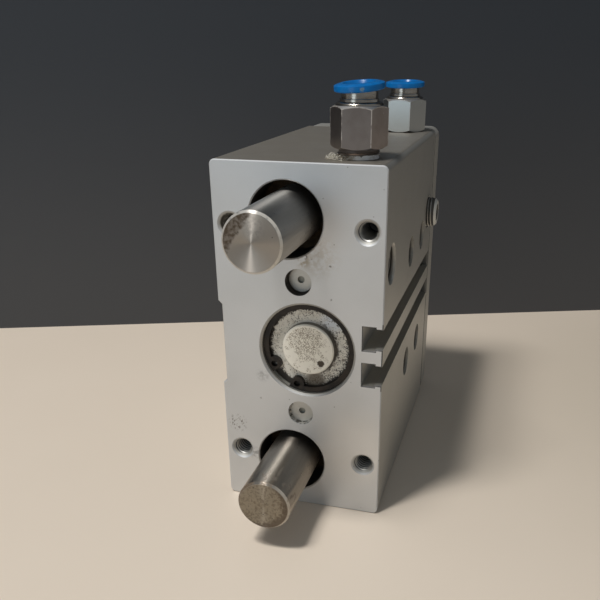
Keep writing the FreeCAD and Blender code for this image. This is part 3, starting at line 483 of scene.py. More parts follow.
# %% [markdown]
# The long edges of the sawn ends are broken by a small bevel. Tumbling and handling have dulled it,
# so it is rougher than the faces beside it. The surface normal finds it: on the bevel the normal
# leans halfway between the face and the side. Round leads of holes lean the same way, and so the
# mask also asks how far out the point lies. The bore's lead and the lips of the slots are also
# darkened, which is painted shade that tones down their highlights. The normal also finds the top,
# whose colour is darkened by a cloudy brown tint: partly a film, partly painted shade.

# %% Dull bevels, painted shade and top film
bevel = bevelled(housing)
slot_side = housing.band(housing.along("X"), 16.2, 16.6)
by_slots = housing.apart("Z", MIDDLE_Z)
slot_edge = housing.both(slot_side, housing.band(by_slots, 9.4, 9.0))
slot_edge = housing.both(bevel, slot_edge)
at_side = housing.band(housing.apart("X"), 20.9, 21.0)
outside = housing.math("MAXIMUM", housing.band(by_slots, 47.1, 47.2), at_side)
housing.roughen(housing.both(bevel, outside), 0.32)
housing.roughen(slot_edge, 0.35)
bore_lead = between(housing, radius_about(housing, BORE_AXIS), 12.4, 13.2, 0.1)
bore_lead = housing.both(bevel, bore_lead)
housing.roughen(bore_lead, 0.12)
# Darker bore lead: painted shade that tones down its highlight.
housing.tint(bore_lead, (0.80, 0.79, 0.77), "MULTIPLY")
# Darker top: partly a brown film, partly painted shade.
film_and_shade = housing.band(housing.facing((0, 0, 1)), 0.85, 0.97)
film_and_shade = housing.both(film_and_shade, housing.band(housing.along("Z"), TOP_Z - 2, TOP_Z - 1))
cloudy = housing.math("ADD", 0.6, housing.both(housing.noise(0.12, 5), 0.7))
housing.tint(housing.both(film_and_shade, cloudy), (0.80, 0.75, 0.70), "MULTIPLY")
# Darker slot lips: painted shade that tones down their highlight.
housing.tint(slot_edge, (0.35, 0.34, 0.33), "MULTIPLY")
print("housing finish nodes", len(housing.tree.nodes))

# %% [markdown]
# The end cap sits in the bore behind the circlip. A pale worn film covers it, with beige freckles on
# the upper half of its boss, a dark blot, and black grime where the ring meets it. A dark band along
# the right of the boss foot is painted shadow, and the boss's side wall is darkened with painted
# shade. Distance from the bore's axis, the length of an offset with its Y part removed, tells boss
# from flange.

# %% End cap finish
FLANGE_Y = -37.8
BOSS_Y = -39.6

cap = Finish("worn_end_cap", (0.93, 0.89, 0.79), 0.2, 0.5)
cap_radius = radius_about(cap, BORE_AXIS)
on_flange = cap.band(cap_radius, 6.9, 7.2)
cap.tint(on_flange, (0.76, 0.73, 0.655))
cap.tint(cap.both(cap.near((8.4, FLANGE_Y, 55.6), 1.2, 3.4), 0.7), (0.70, 0.76, 0.86))
freckled = cap.near((1.6, BOSS_Y, 50.2), 2.6, 3.6)
patches = cap.math("ADD", cap.noise(0.7, 3), cap.both(freckled, 0.22))
freckles = cap.band(cap.noise(4.2, 6), 0.46, 0.56)
on_boss = cap.band(cap_radius, 6.6, 6.0)
boss_freckles = cap.both(freckles, cap.both(cap.band(patches, 0.48, 0.66), on_boss))
cap.soil_and_painted_light(cap.both(boss_freckles, 0.85), (0.27, 0.21, 0.14), 0.15)
cap_offset = cap.vector("SUBTRACT", cap.place, BORE_AXIS)
lower_right = cap.band(cap.vector("DOT_PRODUCT", cap_offset, (0.8, 0, -0.6)), -10, 12)
thick = cap.both(cap.band(cap.noise(0.35, 2), 0.42, 0.62), 0.10)
fleck = cap.math("ADD", cap.noise(3.4, 8), cap.math("ADD", thick, cap.both(lower_right, 0.06)))
fleck = cap.math("ADD", fleck, cap.both(cap.band(cap_radius, 9.0, 11.5), 0.05))
flange_flecks = cap.both(cap.band(fleck, 0.64, 0.70), on_flange)
cap.soil_and_painted_light(cap.both(flange_flecks, 0.85), (0.07, 0.057, 0.045), 0.1)
clots = cap.math("ADD", cap.noise(1.5, 8), cap.both(lower_right, 0.04))
clots = cap.both(cap.band(clots, 0.66, 0.70), on_flange)
cap.soil_and_painted_light(cap.both(clots, 0.9), (0.05, 0.042, 0.034), 0.1)
film_and_shade = cap.both(cap.band(cap.noise(0.8, 5), 0.50, 0.70), on_flange)
cap.soil_and_painted_light(cap.both(film_and_shade, 0.5), (0.42, 0.37, 0.29), 0.1)
wander = cap.both(cap.noise(0.9, 8), 3.4)
# Dark band on the flange along the right of the boss foot: painted shadow.
boss_shadow = cap.band(cap.math("ADD", cap_radius, wander), 9.9, 9.1)
right_half = cap.band(cap.along("X"), 4.0, 7.5)
boss_shadow = cap.both(boss_shadow, cap.both(on_flange, right_half))
cap.soil_and_painted_light(cap.both(boss_shadow, 0.9), (0.06, 0.048, 0.036), 0.1)
# Darker side wall of the boss: painted shade.
boss_wall = between(cap, cap_radius, 6.92, 7.1, 0.08)
boss_wall = cap.both(boss_wall, cap.band(cap.along("Y"), -39.3, -38.9))
cap.soil_and_painted_light(cap.both(boss_wall, 0.75), (0.07, 0.056, 0.042), 0.1)
ragged = cap.math("ADD", wander, cap.both(cap.noise(3.0, 8), 2.2))
rim_grime = cap.band(cap.math("ADD", cap_radius, ragged), 13.0, 13.6)
cap.soil_and_painted_light(rim_grime, (0.03, 0.025, 0.02), 0.1)
blot = cap.vector("DISTANCE", cap.place, (5.5, BOSS_Y, 43.9))
blot = cap.math("ADD", blot, cap.both(cap.noise(1.6, 4), 0.9))
cap.soil_and_painted_light(cap.band(blot, 1.55, 1.25), (0.07, 0.05, 0.032), 0.1)
below_boss = cap.both(cap.near((3.6, FLANGE_Y, 38.2), 1.6, 1.8), on_flange)
cap.soil_and_painted_light(cap.both(below_boss, 0.85), (0.10, 0.075, 0.05), 0.1)
cap.relief(freckles, 0.012)
cap.relief(cap.noise(0.5, 2), 0.05)
print("end cap finish nodes", len(cap.tree.nodes))

# %% [markdown]
# The guide rods are hardened and ground, so fine lines run round them, and their turned ends have rings
# about the same axis. Such lines stretch a highlight across themselves: into a streak along the rod, and
# into a bow tie on its end. The tangent of an anisotropic shader sets that direction. It is the
# cross product of the line's direction and the surface normal. The two rods share one mesh, so
# the sign of the height picks the nearer axis. Rust, smears and pits on the ends are noise masks.

# %% Ground rod finish
GUIDE_END_Y = -63.5
UPPER_ROD_Z = MIDDLE_Z + GUIDE_HALF
LOWER_ROD_Z = MIDDLE_Z - GUIDE_HALF
RUST = (0.13, 0.085, 0.048)


def ground_finish(name, axis_x, half_pitch):
    """Ground steel about one axis, or about two that lie above and below the middle."""
    steel = Finish(name, (0.41, 0.395, 0.37), 1.0, 0.23)
    across = steel.math("SUBTRACT", steel.along("X"), axis_x)
    rise = steel.math("SUBTRACT", steel.along("Z"), MIDDLE_Z)
    side = steel.math("SIGN", rise, 0.0)
    rise = steel.math("SUBTRACT", rise, steel.both(side, half_pitch))
    round_line = steel.add("CombineXYZ")
    steel.feed(round_line.inputs["X"], rise)
    steel.feed(round_line.inputs["Z"], steel.math("MULTIPLY", across, -1.0))
    normal = steel.add("NewGeometry").outputs["Normal"]
    across_line = steel.vector("CROSS_PRODUCT", round_line.outputs[0], normal)
    steel.feed(steel.shader.inputs["Tangent"], across_line)
    lines = steel.noise(1.0, 2, (0.35, 6, 0.35))
    # Darker rubbed streaks along the rod: wear.
    rubbed_and_lit = steel.noise(0.5, 3, (1.4, 0.12, 1.4))
    steel.tint(steel.band(rubbed_and_lit, 0.40, 0.75), (0.36, 0.345, 0.32))
    steel.roughen(lines, 0.06)
    steel.roughen(rubbed_and_lit, 0.06)
    steel.relief(lines, 0.0015)
    steel.shader.inputs["Anisotropic"].default_value = 0.93
    return steel


rods = ground_finish("ground_guide_rods", GUIDE_X, GUIDE_HALF)
at_end = rods.band(rods.along("Y"), GUIDE_END_Y + 0.15, GUIDE_END_Y + 0.02)
rods.tint(at_end, (0.445, 0.41, 0.37))
rods.roughen(at_end, 0.20)
lower = rods.band(rods.along("Z"), 50, 40)
rods.tint(rods.both(lower, 0.8), (0.97, 0.88, 0.78), "MULTIPLY")
at_tip = rods.band(rods.along("Y"), GUIDE_END_Y + 0.72, GUIDE_END_Y + 0.60)
tip_bevel = rods.math("SUBTRACT", at_tip, at_end)
# Pale ring on the tip bevels: partly wear, partly painted highlight.
tip_wear_and_highlight = rods.both(tip_bevel, rods.band(rods.noise(0.9, 4), 0.20, 0.48))
upper = rods.flip(lower)
rods.soil_and_painted_light(rods.both(tip_wear_and_highlight, rods.both(upper, 0.6)), (0.76, 0.72, 0.66), 0.25)
right = rods.band(rods.along("X"), GUIDE_X + 1, GUIDE_X + 5)
rusty_tip = rods.both(tip_bevel, rods.both(lower, rods.band(rods.noise(0.8, 6), 0.30, 0.55)))
rods.soil_and_painted_light(rods.both(rusty_tip, rods.math("SUBTRACT", 0.85, rods.both(right, 0.6))), RUST, 0.2)
rods.soil_and_painted_light(rods.both(tip_wear_and_highlight, rods.both(right, 0.45)), (0.76, 0.71, 0.62), 0.25)

upper_axis = (GUIDE_X, GUIDE_END_Y, UPPER_ROD_Z)
from_axis = rods.vector("SUBTRACT", rods.place, upper_axis)
slant = rods.vector("DOT_PRODUCT", from_axis, (-0.825, 0, 0.565))
slant = rods.math("ADD", slant, rods.both(rods.noise(0.9, 8), 2.4))
smear = rods.both(rods.band(slant, 4.3, 5.2), rods.both(at_end, upper))
streaky = rods.both(rods.band(rods.noise(1.1, 7), 0.35, 0.62), 0.45)
smear = rods.both(smear, rods.math("ADD", 0.5, streaky))
rods.soil_and_painted_light(smear, (0.058, 0.035, 0.016), 0.2)
bloom = rods.near((-2.2, GUIDE_END_Y, 84.6), 1.0, 2.6)
bloom = rods.both(bloom, rods.band(rods.noise(1.6, 6), 0.42, 0.60))
rods.soil_and_painted_light(rods.both(bloom, rods.both(at_end, 0.35)), (0.20, 0.19, 0.18), 0.2)

lower_disc = rods.near((GUIDE_X, GUIDE_END_Y, LOWER_ROD_Z), 6.2, 0.5)
lower_disc = rods.both(at_end, lower_disc)
rods.soil_and_painted_light(rods.both(lower_disc, 0.75), (0.29, 0.235, 0.155), 0.2)
patchy = rods.band(rods.noise(1.6, 9), 0.42, 0.66)
rods.soil_and_painted_light(rods.both(lower_disc, rods.both(patchy, 0.6)), RUST, 0.2)
edge_rust = rods.vector("DISTANCE", rods.place, (GUIDE_X - 1.2, GUIDE_END_Y, LOWER_ROD_Z + 0.9))
edge_rust = rods.math("ADD", edge_rust, rods.both(rods.noise(1.5, 8), 3.4))
edge_rust = rods.both(rods.band(edge_rust, 7.2, 8.6), lower_disc)
rods.soil_and_painted_light(rods.both(edge_rust, 0.75), (0.085, 0.055, 0.034), 0.2)
pits = rods.both(rods.band(rods.noise(2.6, 6), 0.64, 0.70), lower_disc)
few_pits = rods.both(rods.dots(0.35, 0.07), at_end)
pits = rods.math("MAXIMUM", pits, few_pits)
rods.soil_and_painted_light(pits, (0.05, 0.04, 0.03), 0.2)
rods.relief(pits, -0.03)
rod_side = rods.both(rods.band(rods.along("Y"), -52, -59), rods.flip(at_tip))
streaks = rods.band(rods.noise(0.8, 8, (1, 0.5, 1)), 0.50, 0.66)
rod_side = rods.both(rod_side, rods.both(lower, streaks))
rods.soil_and_painted_light(rods.both(rod_side, 0.6), (0.075, 0.048, 0.032), 0.15)
piston_rod_finish = ground_finish("ground_piston_rod", BORE_AXIS[0], 0.0)
print("rod finishes", rods.material.name, piston_rod_finish.material.name)

# %% [markdown]
# The other metals differ in a few numbers: how dark, how smooth, how coarse the grain. One helper layers
# a cloud, a grain and a fine relief, and each metal adds what is its own: brown rubs on the
# phosphated circlip, fine lathe lines and bright nicks on the nickel of the fittings. Painted light
# is laid on too: painted shade between the plug's thread turns and in the grooves of the bare
# thread, a painted highlight on the proud plug's end, on the hexagons' top cones and along their
# edges, and a painted bluish reflection on the front hexagon's facets.

# %% Other metal finishes
FITTING_X = 12.6
REAR_FITTING_Y = -30.2
FRONT_FITTING_Y = 33.0
REAR_HEX_TOP = 106.95
FRONT_HEX_TOP = 104.65
CONE_SLOPE = 0.577


def worn_metal(name, colour, worn, metallic, roughness, grain, height):
    """Metal that clouds from one colour to a worn one, with a fine grain in relief."""
    metal = Finish(name, colour, metallic, roughness)
    cloud = metal.noise(grain / 8, 3)
    fine = metal.noise(grain, 3)
    metal.tint(metal.band(cloud, 0.35, 0.7), worn)
    metal.roughen(fine, 0.15)
    metal.relief(fine, height)
    return metal


circlip_finish = worn_metal("phosphated_circlip", (0.012, 0.010, 0.009), (0.036, 0.027, 0.021),
                            0.4, 0.36, 4.0, 0.05)
plug_finish = worn_metal("zinc_plugs", (0.50, 0.49, 0.46), (0.40, 0.39, 0.36), 1.0, 0.28, 5.0, 0.008)
screw_finish = worn_metal("black_oxide_screws", (0.045, 0.045, 0.048), (0.075, 0.072, 0.07),
                          0.8, 0.34, 5.0, 0.006)
bronze_finish = worn_metal("sintered_bronze", (0.060, 0.040, 0.023), (0.03, 0.02, 0.013),
                           0.9, 0.45, 6.0, 0.015)
claw_finish = worn_metal("stamped_claw", (0.60, 0.60, 0.60), (0.52, 0.52, 0.51), 1.0, 0.26, 6.0, 0.004)
piston_finish = worn_metal("turned_piston", (0.68, 0.68, 0.67), (0.60, 0.60, 0.59),
                           1.0, 0.30, 4.0, 0.006)
plug_radius = radius_about_folded(plug_finish, (0, port_middle, PORT_Z), (0, port_half, 0), ACROSS_X)
# Painted shade between the turns of the plug threads.
plug_roots = plug_finish.band(plug_radius, 4.3, 4.38)
plug_roots = plug_finish.both(plug_roots, plug_finish.band(plug_radius, 4.72, 4.55))
plug_finish.soil_and_painted_light(plug_finish.both(plug_roots, 0.9), (0.035, 0.032, 0.028), 0.1)
# Pale, less metallic end of the proud plug: painted highlight.
plug_end = plug_finish.band(plug_finish.facing((1, 0, 0)), 0.6, 0.68)
plug_end = plug_finish.both(plug_end, plug_finish.band(plug_finish.along("X"), 24.2, 24.25))
plug_finish.soil_and_painted_light(plug_finish.both(plug_end, 0.75), (0.74, 0.74, 0.70), 0.15)

hexagon = Finish("nickel_hexagon", (0.365, 0.318, 0.292), 1.0, 0.26)
lathe = hexagon.noise(1.0, 2, (0.4, 0.4, 9))
hexagon.tint(hexagon.band(hexagon.noise(0.35, 3), 0.35, 0.7), (0.32, 0.274, 0.248))
hexagon.roughen(lathe, 0.06)
hexagon.relief(lathe, 0.0004)
upward = hexagon.facing((0, 0, 1))
# Lighter top cones of the hexagons: painted highlight.
cone = between(hexagon, upward, 0.7, 0.95, 0.1)
hexagon.tint(cone, (0.70, 0.66, 0.61))
hexagon.roughen(cone, 0.12)
fitting_middle, fitting_half = middle_and_half(REAR_FITTING_Y, FRONT_FITTING_Y)
corner = radius_about_folded(hexagon, (FITTING_X, fitting_middle, 0), (0, fitting_half, 0), ACROSS_Z)
at_rear = hexagon.band(hexagon.along("Y"), 2, 0)
top_z = hexagon.math("ADD", FRONT_HEX_TOP, hexagon.both(at_rear, REAR_HEX_TOP - FRONT_HEX_TOP))
cone_drop = hexagon.both(hexagon.math("SUBTRACT", corner, 5.8), CONE_SLOPE)
cone_z = hexagon.math("SUBTRACT", top_z, cone_drop)
below = hexagon.math("SUBTRACT", cone_z, hexagon.along("Z"))
on_facet = hexagon.band(hexagon.math("ABSOLUTE", upward, 0.0), 0.3, 0.2)
# Pale lines along the hexagons' corners and arcs: painted highlight.
arc_edge = hexagon.both(hexagon.band(below, 0.24, 0.08), on_facet)
edge = hexagon.math("MAXIMUM", hexagon.band(corner, 6.83, 6.89), arc_edge)
edge = hexagon.both(edge, hexagon.band(hexagon.noise(0.8, 4), 0.34, 0.56))
hexagon.soil_and_painted_light(hexagon.both(edge, 0.65), (0.70, 0.67, 0.62), 0.1)
# Lighter, bluish facets of the front hexagon: painted reflection.
hexagon.tint(hexagon.both(hexagon.flip(at_rear), on_facet), (0.41, 0.415, 0.40))
# Dark grooves of the bare thread under the hexagon: painted shade.
groove_shade = hexagon.both(hexagon.band(corner, 5.02, 4.90), hexagon.band(hexagon.along("Z"), 97.5, 97.4))
hexagon.soil_and_painted_light(hexagon.both(groove_shade, 0.85), (0.035, 0.024, 0.017), 0.1)
nicks = hexagon.both(hexagon.dots(0.9, 0.12), hexagon.band(hexagon.noise(0.7), 0.58, 0.64))
hexagon.tint(nicks, (0.95, 0.93, 0.90))
hexagon.relief(nicks, -0.02)

neck_finish = Finish("nickel_neck", (0.50, 0.455, 0.40), 1.0, 0.16)
rings = neck_finish.noise(1.0, 2, (0.3, 0.3, 12))
neck_finish.tint(neck_finish.band(rings, 0.45, 0.70), (0.25, 0.215, 0.175))
neck_finish.roughen(rings, 0.10)
neck_finish.relief(rings, 0.002)
print("metals", circlip_finish.material.name, plug_finish.material.name, hexagon.material.name)

# %% [markdown]
# Plastics and rubber are not metal, so their colour comes from within and only the gloss from the
# surface. The release rings are bright blue with a soft moulded grain. The tape on the fitting's
# thread is thin and milky, and a little light passes through it.

# %% Plastic and rubber finishes


def moulded(name, colour, shade, roughness, grain, height):
    """Plastic or rubber that varies between two shades, with a moulded grain."""
    plastic = Finish(name, colour, 0.0, roughness)
    plastic.tint(plastic.band(plastic.noise(grain / 10, 2), 0.35, 0.7), shade)
    skin = plastic.noise(grain, 2)
    plastic.roughen(skin, 0.12)
    plastic.relief(skin, height)
    return plastic


ring_finish = moulded("blue_release_ring", (0.0015, 0.150, 0.450), (0.0015, 0.128, 0.400),
                      0.20, 6.0, 0.006)
ring_finish.shader.inputs["Specular IOR Level"].default_value = 0.35
# Greyish spot on the rear ring's rim: painted reflection.
ring_reflection = ring_finish.near((14.5, -36.0, 110.6), 0.25, 0.45)
ring_reflection = ring_finish.both(ring_reflection, ring_finish.band(ring_finish.noise(2.4, 4), 0.40, 0.55))
ring_finish.soil_and_painted_light(ring_reflection, (0.16, 0.24, 0.30), 0.1)
seal_finish = moulded("seal_rubber", (0.022, 0.022, 0.023), (0.035, 0.034, 0.033), 0.5, 5.0, 0.01)
cushion_finish = moulded("cushion_rubber", (0.26, 0.22, 0.12), (0.20, 0.17, 0.10), 0.5, 4.0, 0.01)
magnet_finish = moulded("bonded_magnet", (0.07, 0.07, 0.075), (0.10, 0.10, 0.105), 0.55, 7.0, 0.012)
wear_finish = moulded("wear_plastic", (0.70, 0.67, 0.58), (0.62, 0.59, 0.50), 0.45, 5.0, 0.006)
tape = moulded("thread_tape", (0.66, 0.67, 0.69), (0.52, 0.51, 0.49), 0.42, 6.0, 0.03)
loose = tape.vector("DISTANCE", tape.place, (FITTING_X, REAR_FITTING_Y, TOP_Z + 0.5))
loose = tape.band(loose, 5.2, 5.4)
tape.tint(loose, (0.60, 0.57, 0.49))
handled = tape.math("ADD", tape.along("X"), tape.both(tape.noise(0.9, 4), 3.0))
handled = tape.both(tape.band(handled, 14.6, 13.6), tape.flip(loose))
tape.tint(tape.both(handled, tape.band(tape.noise(1.4, 4), 0.25, 0.50)), (0.25, 0.21, 0.16))
tape.shader.inputs["Subsurface Weight"].default_value = 0.2
tape.shader.inputs["Subsurface Radius"].default_value = (MM / 2, MM / 2, MM / 2)
# The plate takes the long faces' darkened colour, partly painted shade.
plate_finish = Finish("satin_plate", EXTRUDED_SHADED, 0.95, 0.46)
satin_layers(plate_finish)
# Darker back edge of the plate by the housing: painted shade that tones down its highlight.
back_edge = plate_finish.band(plate_finish.along("Y"), 41.75, 41.55)
plate_finish.tint(back_edge, (0.5, 0.5, 0.5), "MULTIPLY")
plate_finish.roughen(back_edge, 0.25)
print("plastics", ring_finish.material.name, seal_finish.material.name, tape.material.name)

# %% [markdown]
# The packed record names a material slot for each CAD node, so one table from slot to finish
# dresses them all. Only the material in a node's slot changes. Its mesh is left alone.

# %% Dress the CAD nodes
FINISHES = {
    "housing_aluminium": housing,
    "plate_aluminium": plate_finish,
    "cap_aluminium": cap,
    "piston_aluminium": piston_finish,
    "ground_steel": rods,
    "black_spring_steel": circlip_finish,
    "plug_steel": plug_finish,
    "screw_steel": screw_finish,
    "bearing_bronze": bronze_finish,
    "claw_steel": claw_finish,
    "nickel_brass": hexagon,
    "nickel_sleeve": neck_finish,
    "ring_plastic": ring_finish,
    "seal_rubber": seal_finish,
    "cushion_rubber": cushion_finish,
    "magnet_compound": magnet_finish,
    "wear_plastic": wear_finish,
    "thread_tape": tape,
}
MATERIALS = {slot: finish.done() for slot, finish in FINISHES.items()}
for subpart in frame["record"]["subparts"]:
    dressed = frame["nodes"][subpart["node"]]
    dressed.material_slots[0].material = MATERIALS[subpart["material_slot"]]
frame["nodes"]["piston_rod"].material_slots[0].material = piston_rod_finish.done()

# %% [markdown]
# New pieces share their last steps: close doubles, turn the faces outwards, make a mesh, smooth it
# except at sharp corners, and let it ride on its body. Keeping this in one helper means that no
# piece forgets a step.

# %% Piece helper
SHARP = math.radians(32)
CLOSE = 0.002 * MM


def finish_piece(name, bm, body, slot):
    """Turn a bmesh into a piece that moves with a body and takes a slot's finish."""
    bmesh.ops.remove_doubles(bm, verts=bm.verts, dist=CLOSE)
    bmesh.ops.recalc_face_normals(bm, faces=bm.faces)
    for face in bm.faces:
        face.smooth = True
    mesh = bpy.data.meshes.new(name)
    bm.to_mesh(mesh)
    bm.free()
    mesh.set_sharp_from_angle(angle=SHARP)
    mesh.materials.append(MATERIALS[slot])
    piece = bpy.data.objects.new(name, mesh)
    bpy.context.scene.collection.objects.link(piece)
    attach(piece, body)
    print(name, "faces", len(mesh.polygons))
    return piece


print("pieces are sharp past", round(math.degrees(SHARP)), "degrees")

# %% [markdown]
# A screw thread is a small V wound along a hole or a shank. Spin does this in one step: besides turning
# the V about the axis, its dvec moves each copy on by a share of the pitch. The V is closed at
# its back, and the ends are filled, so the ridge is a solid that sits on the wall.

# %% Thread helper
STEPS_A_TURN = 32
RIDGE_TIP = 0.45
RIDGE_WIDE = 0.9
Z_AXIS = Vector((0, 0, 1))


def wind_thread(bm, mouth, inward, root, crest, pitch, turns):
    """Wind one ridge from the mouth inwards. Sizes are in millimetres."""
    root_low = bm.verts.new((root * MM, 0, 0))
    tip = bm.verts.new((crest * MM, 0, pitch * MM * RIDGE_TIP))
    root_high = bm.verts.new((root * MM, 0, pitch * MM * RIDGE_WIDE))
    section = [root_low, tip, root_high]
    start = bm.faces.new(section)
    steps = round(STEPS_A_TURN * turns)
    bmesh.ops.spin(
        bm,
        geom=[start] + section + list(start.edges),
        cent=(0, 0, 0),
        axis=Z_AXIS,
        dvec=(0, 0, pitch * MM / STEPS_A_TURN),
        angle=math.tau * turns,
        steps=steps,
        use_merge=False,
    )
    ridge = set(section)
    reached = list(section)
    while reached:
        for joined in reached.pop().link_edges:
            for vert in joined.verts:
                if vert not in ridge:
                    ridge.add(vert)
                    reached.append(vert)
    turn = Z_AXIS.rotation_difference(Vector(inward)).to_matrix().to_4x4()
    place = Matrix.Translation(Vector(mouth) * MM)
    bmesh.ops.transform(bm, matrix=place @ turn, verts=list(ridge))


print("threads have", STEPS_A_TURN, "steps to a turn")

# %% [markdown]
# The rear face and the slot side have M6 holes, and the plate has four more. The solids show them as plain
# holes at the core diameter, so the ridges stand a little way into them. All the ridges of one
# face are one piece, because they never move apart.

# %% Tapped holes
CORE_R = 2.52
M6_CREST = 2.10
M6_PITCH = 1.0
THREAD_IN = 0.5
SIDE_SEAT = 2.1
PLATE_Y = 51.0
PLATE_THREAD_X = 14.0
PLATE_THREAD_Z = 28.0


def m6_thread(bm, mouth, inward, turns):
    """An M6 thread on the wall of a hole."""
    wind_thread(bm, mouth, inward, CORE_R, M6_CREST, M6_PITCH, turns)


rear_threads = bmesh.new()
for x in (-THREAD_X, THREAD_X):
    for z in (MIDDLE_Z - THREAD_Z, MIDDLE_Z + THREAD_Z):
        m6_thread(rear_threads, (x, REAR_Y + THREAD_IN, z), (0, 1, 0), 10)
finish_piece("rear_hole_threads", rear_threads, "body", "housing_aluminium")

side_threads = bmesh.new()
for side in (-1, 1):
    for y in SIDE_HOLE_Y:
        for z in (MIDDLE_Z - SIDE_HOLE_Z, MIDDLE_Z + SIDE_HOLE_Z):
            mouth = (side * (SIDE_X - SIDE_SEAT - 0.1), y, z)
            m6_thread(side_threads, mouth, (-side, 0, 0), 8)
finish_piece("side_hole_threads", side_threads, "body", "housing_aluminium")

plate_threads = bmesh.new()
for x in (-PLATE_THREAD_X, PLATE_THREAD_X):
    for z in (MIDDLE_Z - PLATE_THREAD_Z, MIDDLE_Z + PLATE_THREAD_Z):
        m6_thread(plate_threads, (x, PLATE_Y - 0.2, z), (0, -1, 0), 8)
finish_piece("plate_hole_threads", plate_threads, "slider", "plate_aluminium")

# %% [markdown]
# A socket plug closes each side port. It starts as two rings on its outer end: a circle, and a hexagon
# cut up until it has as many corners. Bridging the rings makes the flat end. Extruding the inner
# ring down gives the key socket, and extruding the outer one gives the chamfer and the core
# that carries the thread.

# %% Side plugs
PLUG_CORE = 4.42
PLUG_CREST = 4.84
PLUG_PITCH = 0.907
PLUG_LONG = 7.0
PLUG_BEVEL = 0.7
KEY_FLATS = 5.0
KEY_DEEP = 4.0
PLUG_SEGMENTS = 48
KEY_FLOOR = 0.8
KEY_FLOOR_SHARE = 0.3
SUNK_PLUG_X = 20.8
PROUD_PLUG_X = 25.0
PORT_MOUTH_X = 21.75
PORT_CORE = 4.92
PORT_CREST = 4.60


def carry_ring(bm, edges, shift, scale):
    """Extrude a ring of edges, then move and scale the new ring about its middle."""
    made = bmesh.ops.extrude_edge_only(bm, edges=edges)["geom"]
    verts = [item for item in made if isinstance(item, bmesh.types.BMVert)]
    middle = sum((vert.co for vert in verts), Vector()) / len(verts)
    bmesh.ops.translate(bm, vec=shift, verts=verts)
    about = Matrix.Translation(-(middle + Vector(shift)))
    bmesh.ops.scale(bm, vec=(scale, scale, 1), space=about, verts=verts)
    return [item for item in made if isinstance(item, bmesh.types.BMEdge)]


def add_plug(bm, outer_x, y):
    """One plug along X, its outer end at outer_x."""
    plug = bmesh.new()
    bmesh.ops.create_circle(plug, segments=6, radius=KEY_FLATS / math.sqrt(3) * MM)
    bmesh.ops.subdivide_edges(plug, edges=plug.edges[:], cuts=PLUG_SEGMENTS // 6 - 1)
    key = plug.edges[:]
    bmesh.ops.create_circle(plug, segments=PLUG_SEGMENTS, radius=(PLUG_CORE - PLUG_BEVEL) * MM)
    rim = [item for item in plug.edges if item not in key]
    bmesh.ops.bridge_loops(plug, edges=key + rim)
    socket = carry_ring(plug, key, (0, 0, -KEY_DEEP * MM), 1.0)
    floor = carry_ring(plug, socket, (0, 0, -KEY_FLOOR * MM), KEY_FLOOR_SHARE)
    bmesh.ops.contextual_create(plug, geom=floor)
    shoulder = carry_ring(plug, rim, (0, 0, -PLUG_BEVEL * MM), PLUG_CORE / (PLUG_CORE - PLUG_BEVEL))
    foot = carry_ring(plug, shoulder, (0, 0, (PLUG_BEVEL - PLUG_LONG) * MM), 1.0)
    bmesh.ops.contextual_create(plug, geom=foot)
    mouth = (0, 0, -PLUG_BEVEL - 0.1)
    wind_thread(plug, mouth, (0, 0, -1), PLUG_CORE - 0.02, PLUG_CREST, PLUG_PITCH, 5.8)
    lie = Matrix.Rotation(math.radians(90), 4, "Y")
    spot = Matrix.Translation(Vector((outer_x, y, PORT_Z)) * MM)
    bmesh.ops.transform(plug, matrix=spot @ lie, verts=plug.verts)
    part = bpy.data.meshes.new("plug_part")
    plug.to_mesh(part)
    plug.free()
    bm.from_mesh(part)
    bpy.data.meshes.remove(part)


plugs = bmesh.new()
add_plug(plugs, SUNK_PLUG_X, PORT_Y[0])
add_plug(plugs, PROUD_PLUG_X, PORT_Y[1])
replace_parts(finish_piece("threaded_side_plugs", plugs, "body", "plug_steel"), "side_plugs")

port_threads = bmesh.new()
mouth = (PORT_MOUTH_X, PORT_Y[0], PORT_Z)
wind_thread(port_threads, mouth, (-1, 0, 0), PORT_CORE, PORT_CREST, PLUG_PITCH, 1.2)
finish_piece("side_port_thread", port_threads, "body", "housing_aluminium")

# %% [markdown]
# The round parts of a fitting are turned: a section is drawn once, on the right of the axis, and a full
# spin closes it. The sleeve has a rounded shoulder on the hexagon, a collar, a groove and a neck.
# The release ring is a domed disc on a stem. The rings sit askew, the rear one more, so the vertices
# of each disc are tipped: they roll about the line of sight and nod towards the viewer. The stem
# below stays upright in its sleeve.

# %% Sleeves and release rings
SLEEVE_SECTION = (
    (3.97, -4.60),
    (4.97, -4.60),
    (4.97, 0.00),
    (5.72, 0.02),
    (5.70, 0.20),
    (5.48, 0.52),
    (5.05, 0.76),
    (4.72, 0.82),
    (4.70, 1.36),
    (4.62, 1.46),
    (4.28, 1.48),
    (4.28, 1.68),
    (4.38, 1.74),
    (4.38, 3.08),
    (3.97, 3.08),
)
RING_SECTION = (
    (3.08, -5.20),
    (3.88, -5.20),
    (3.88, 1.50),
    (4.80, 1.50),
    (4.80, 0.05),
    (5.05, 0.00),
    (5.82, 0.18),
    (6.00, 0.36),
    (6.00, 1.38),
    (5.95, 1.51),
    (5.80, 1.60),
    (4.70, 1.90),
    (4.05, 1.95),
    (3.85, 1.88),
    (3.20, 1.02),
    (3.08, 0.80),
)
ROUND_SEGMENTS = 72
REAR_RING_BASE = 110.05
FRONT_RING_BASE = 107.85


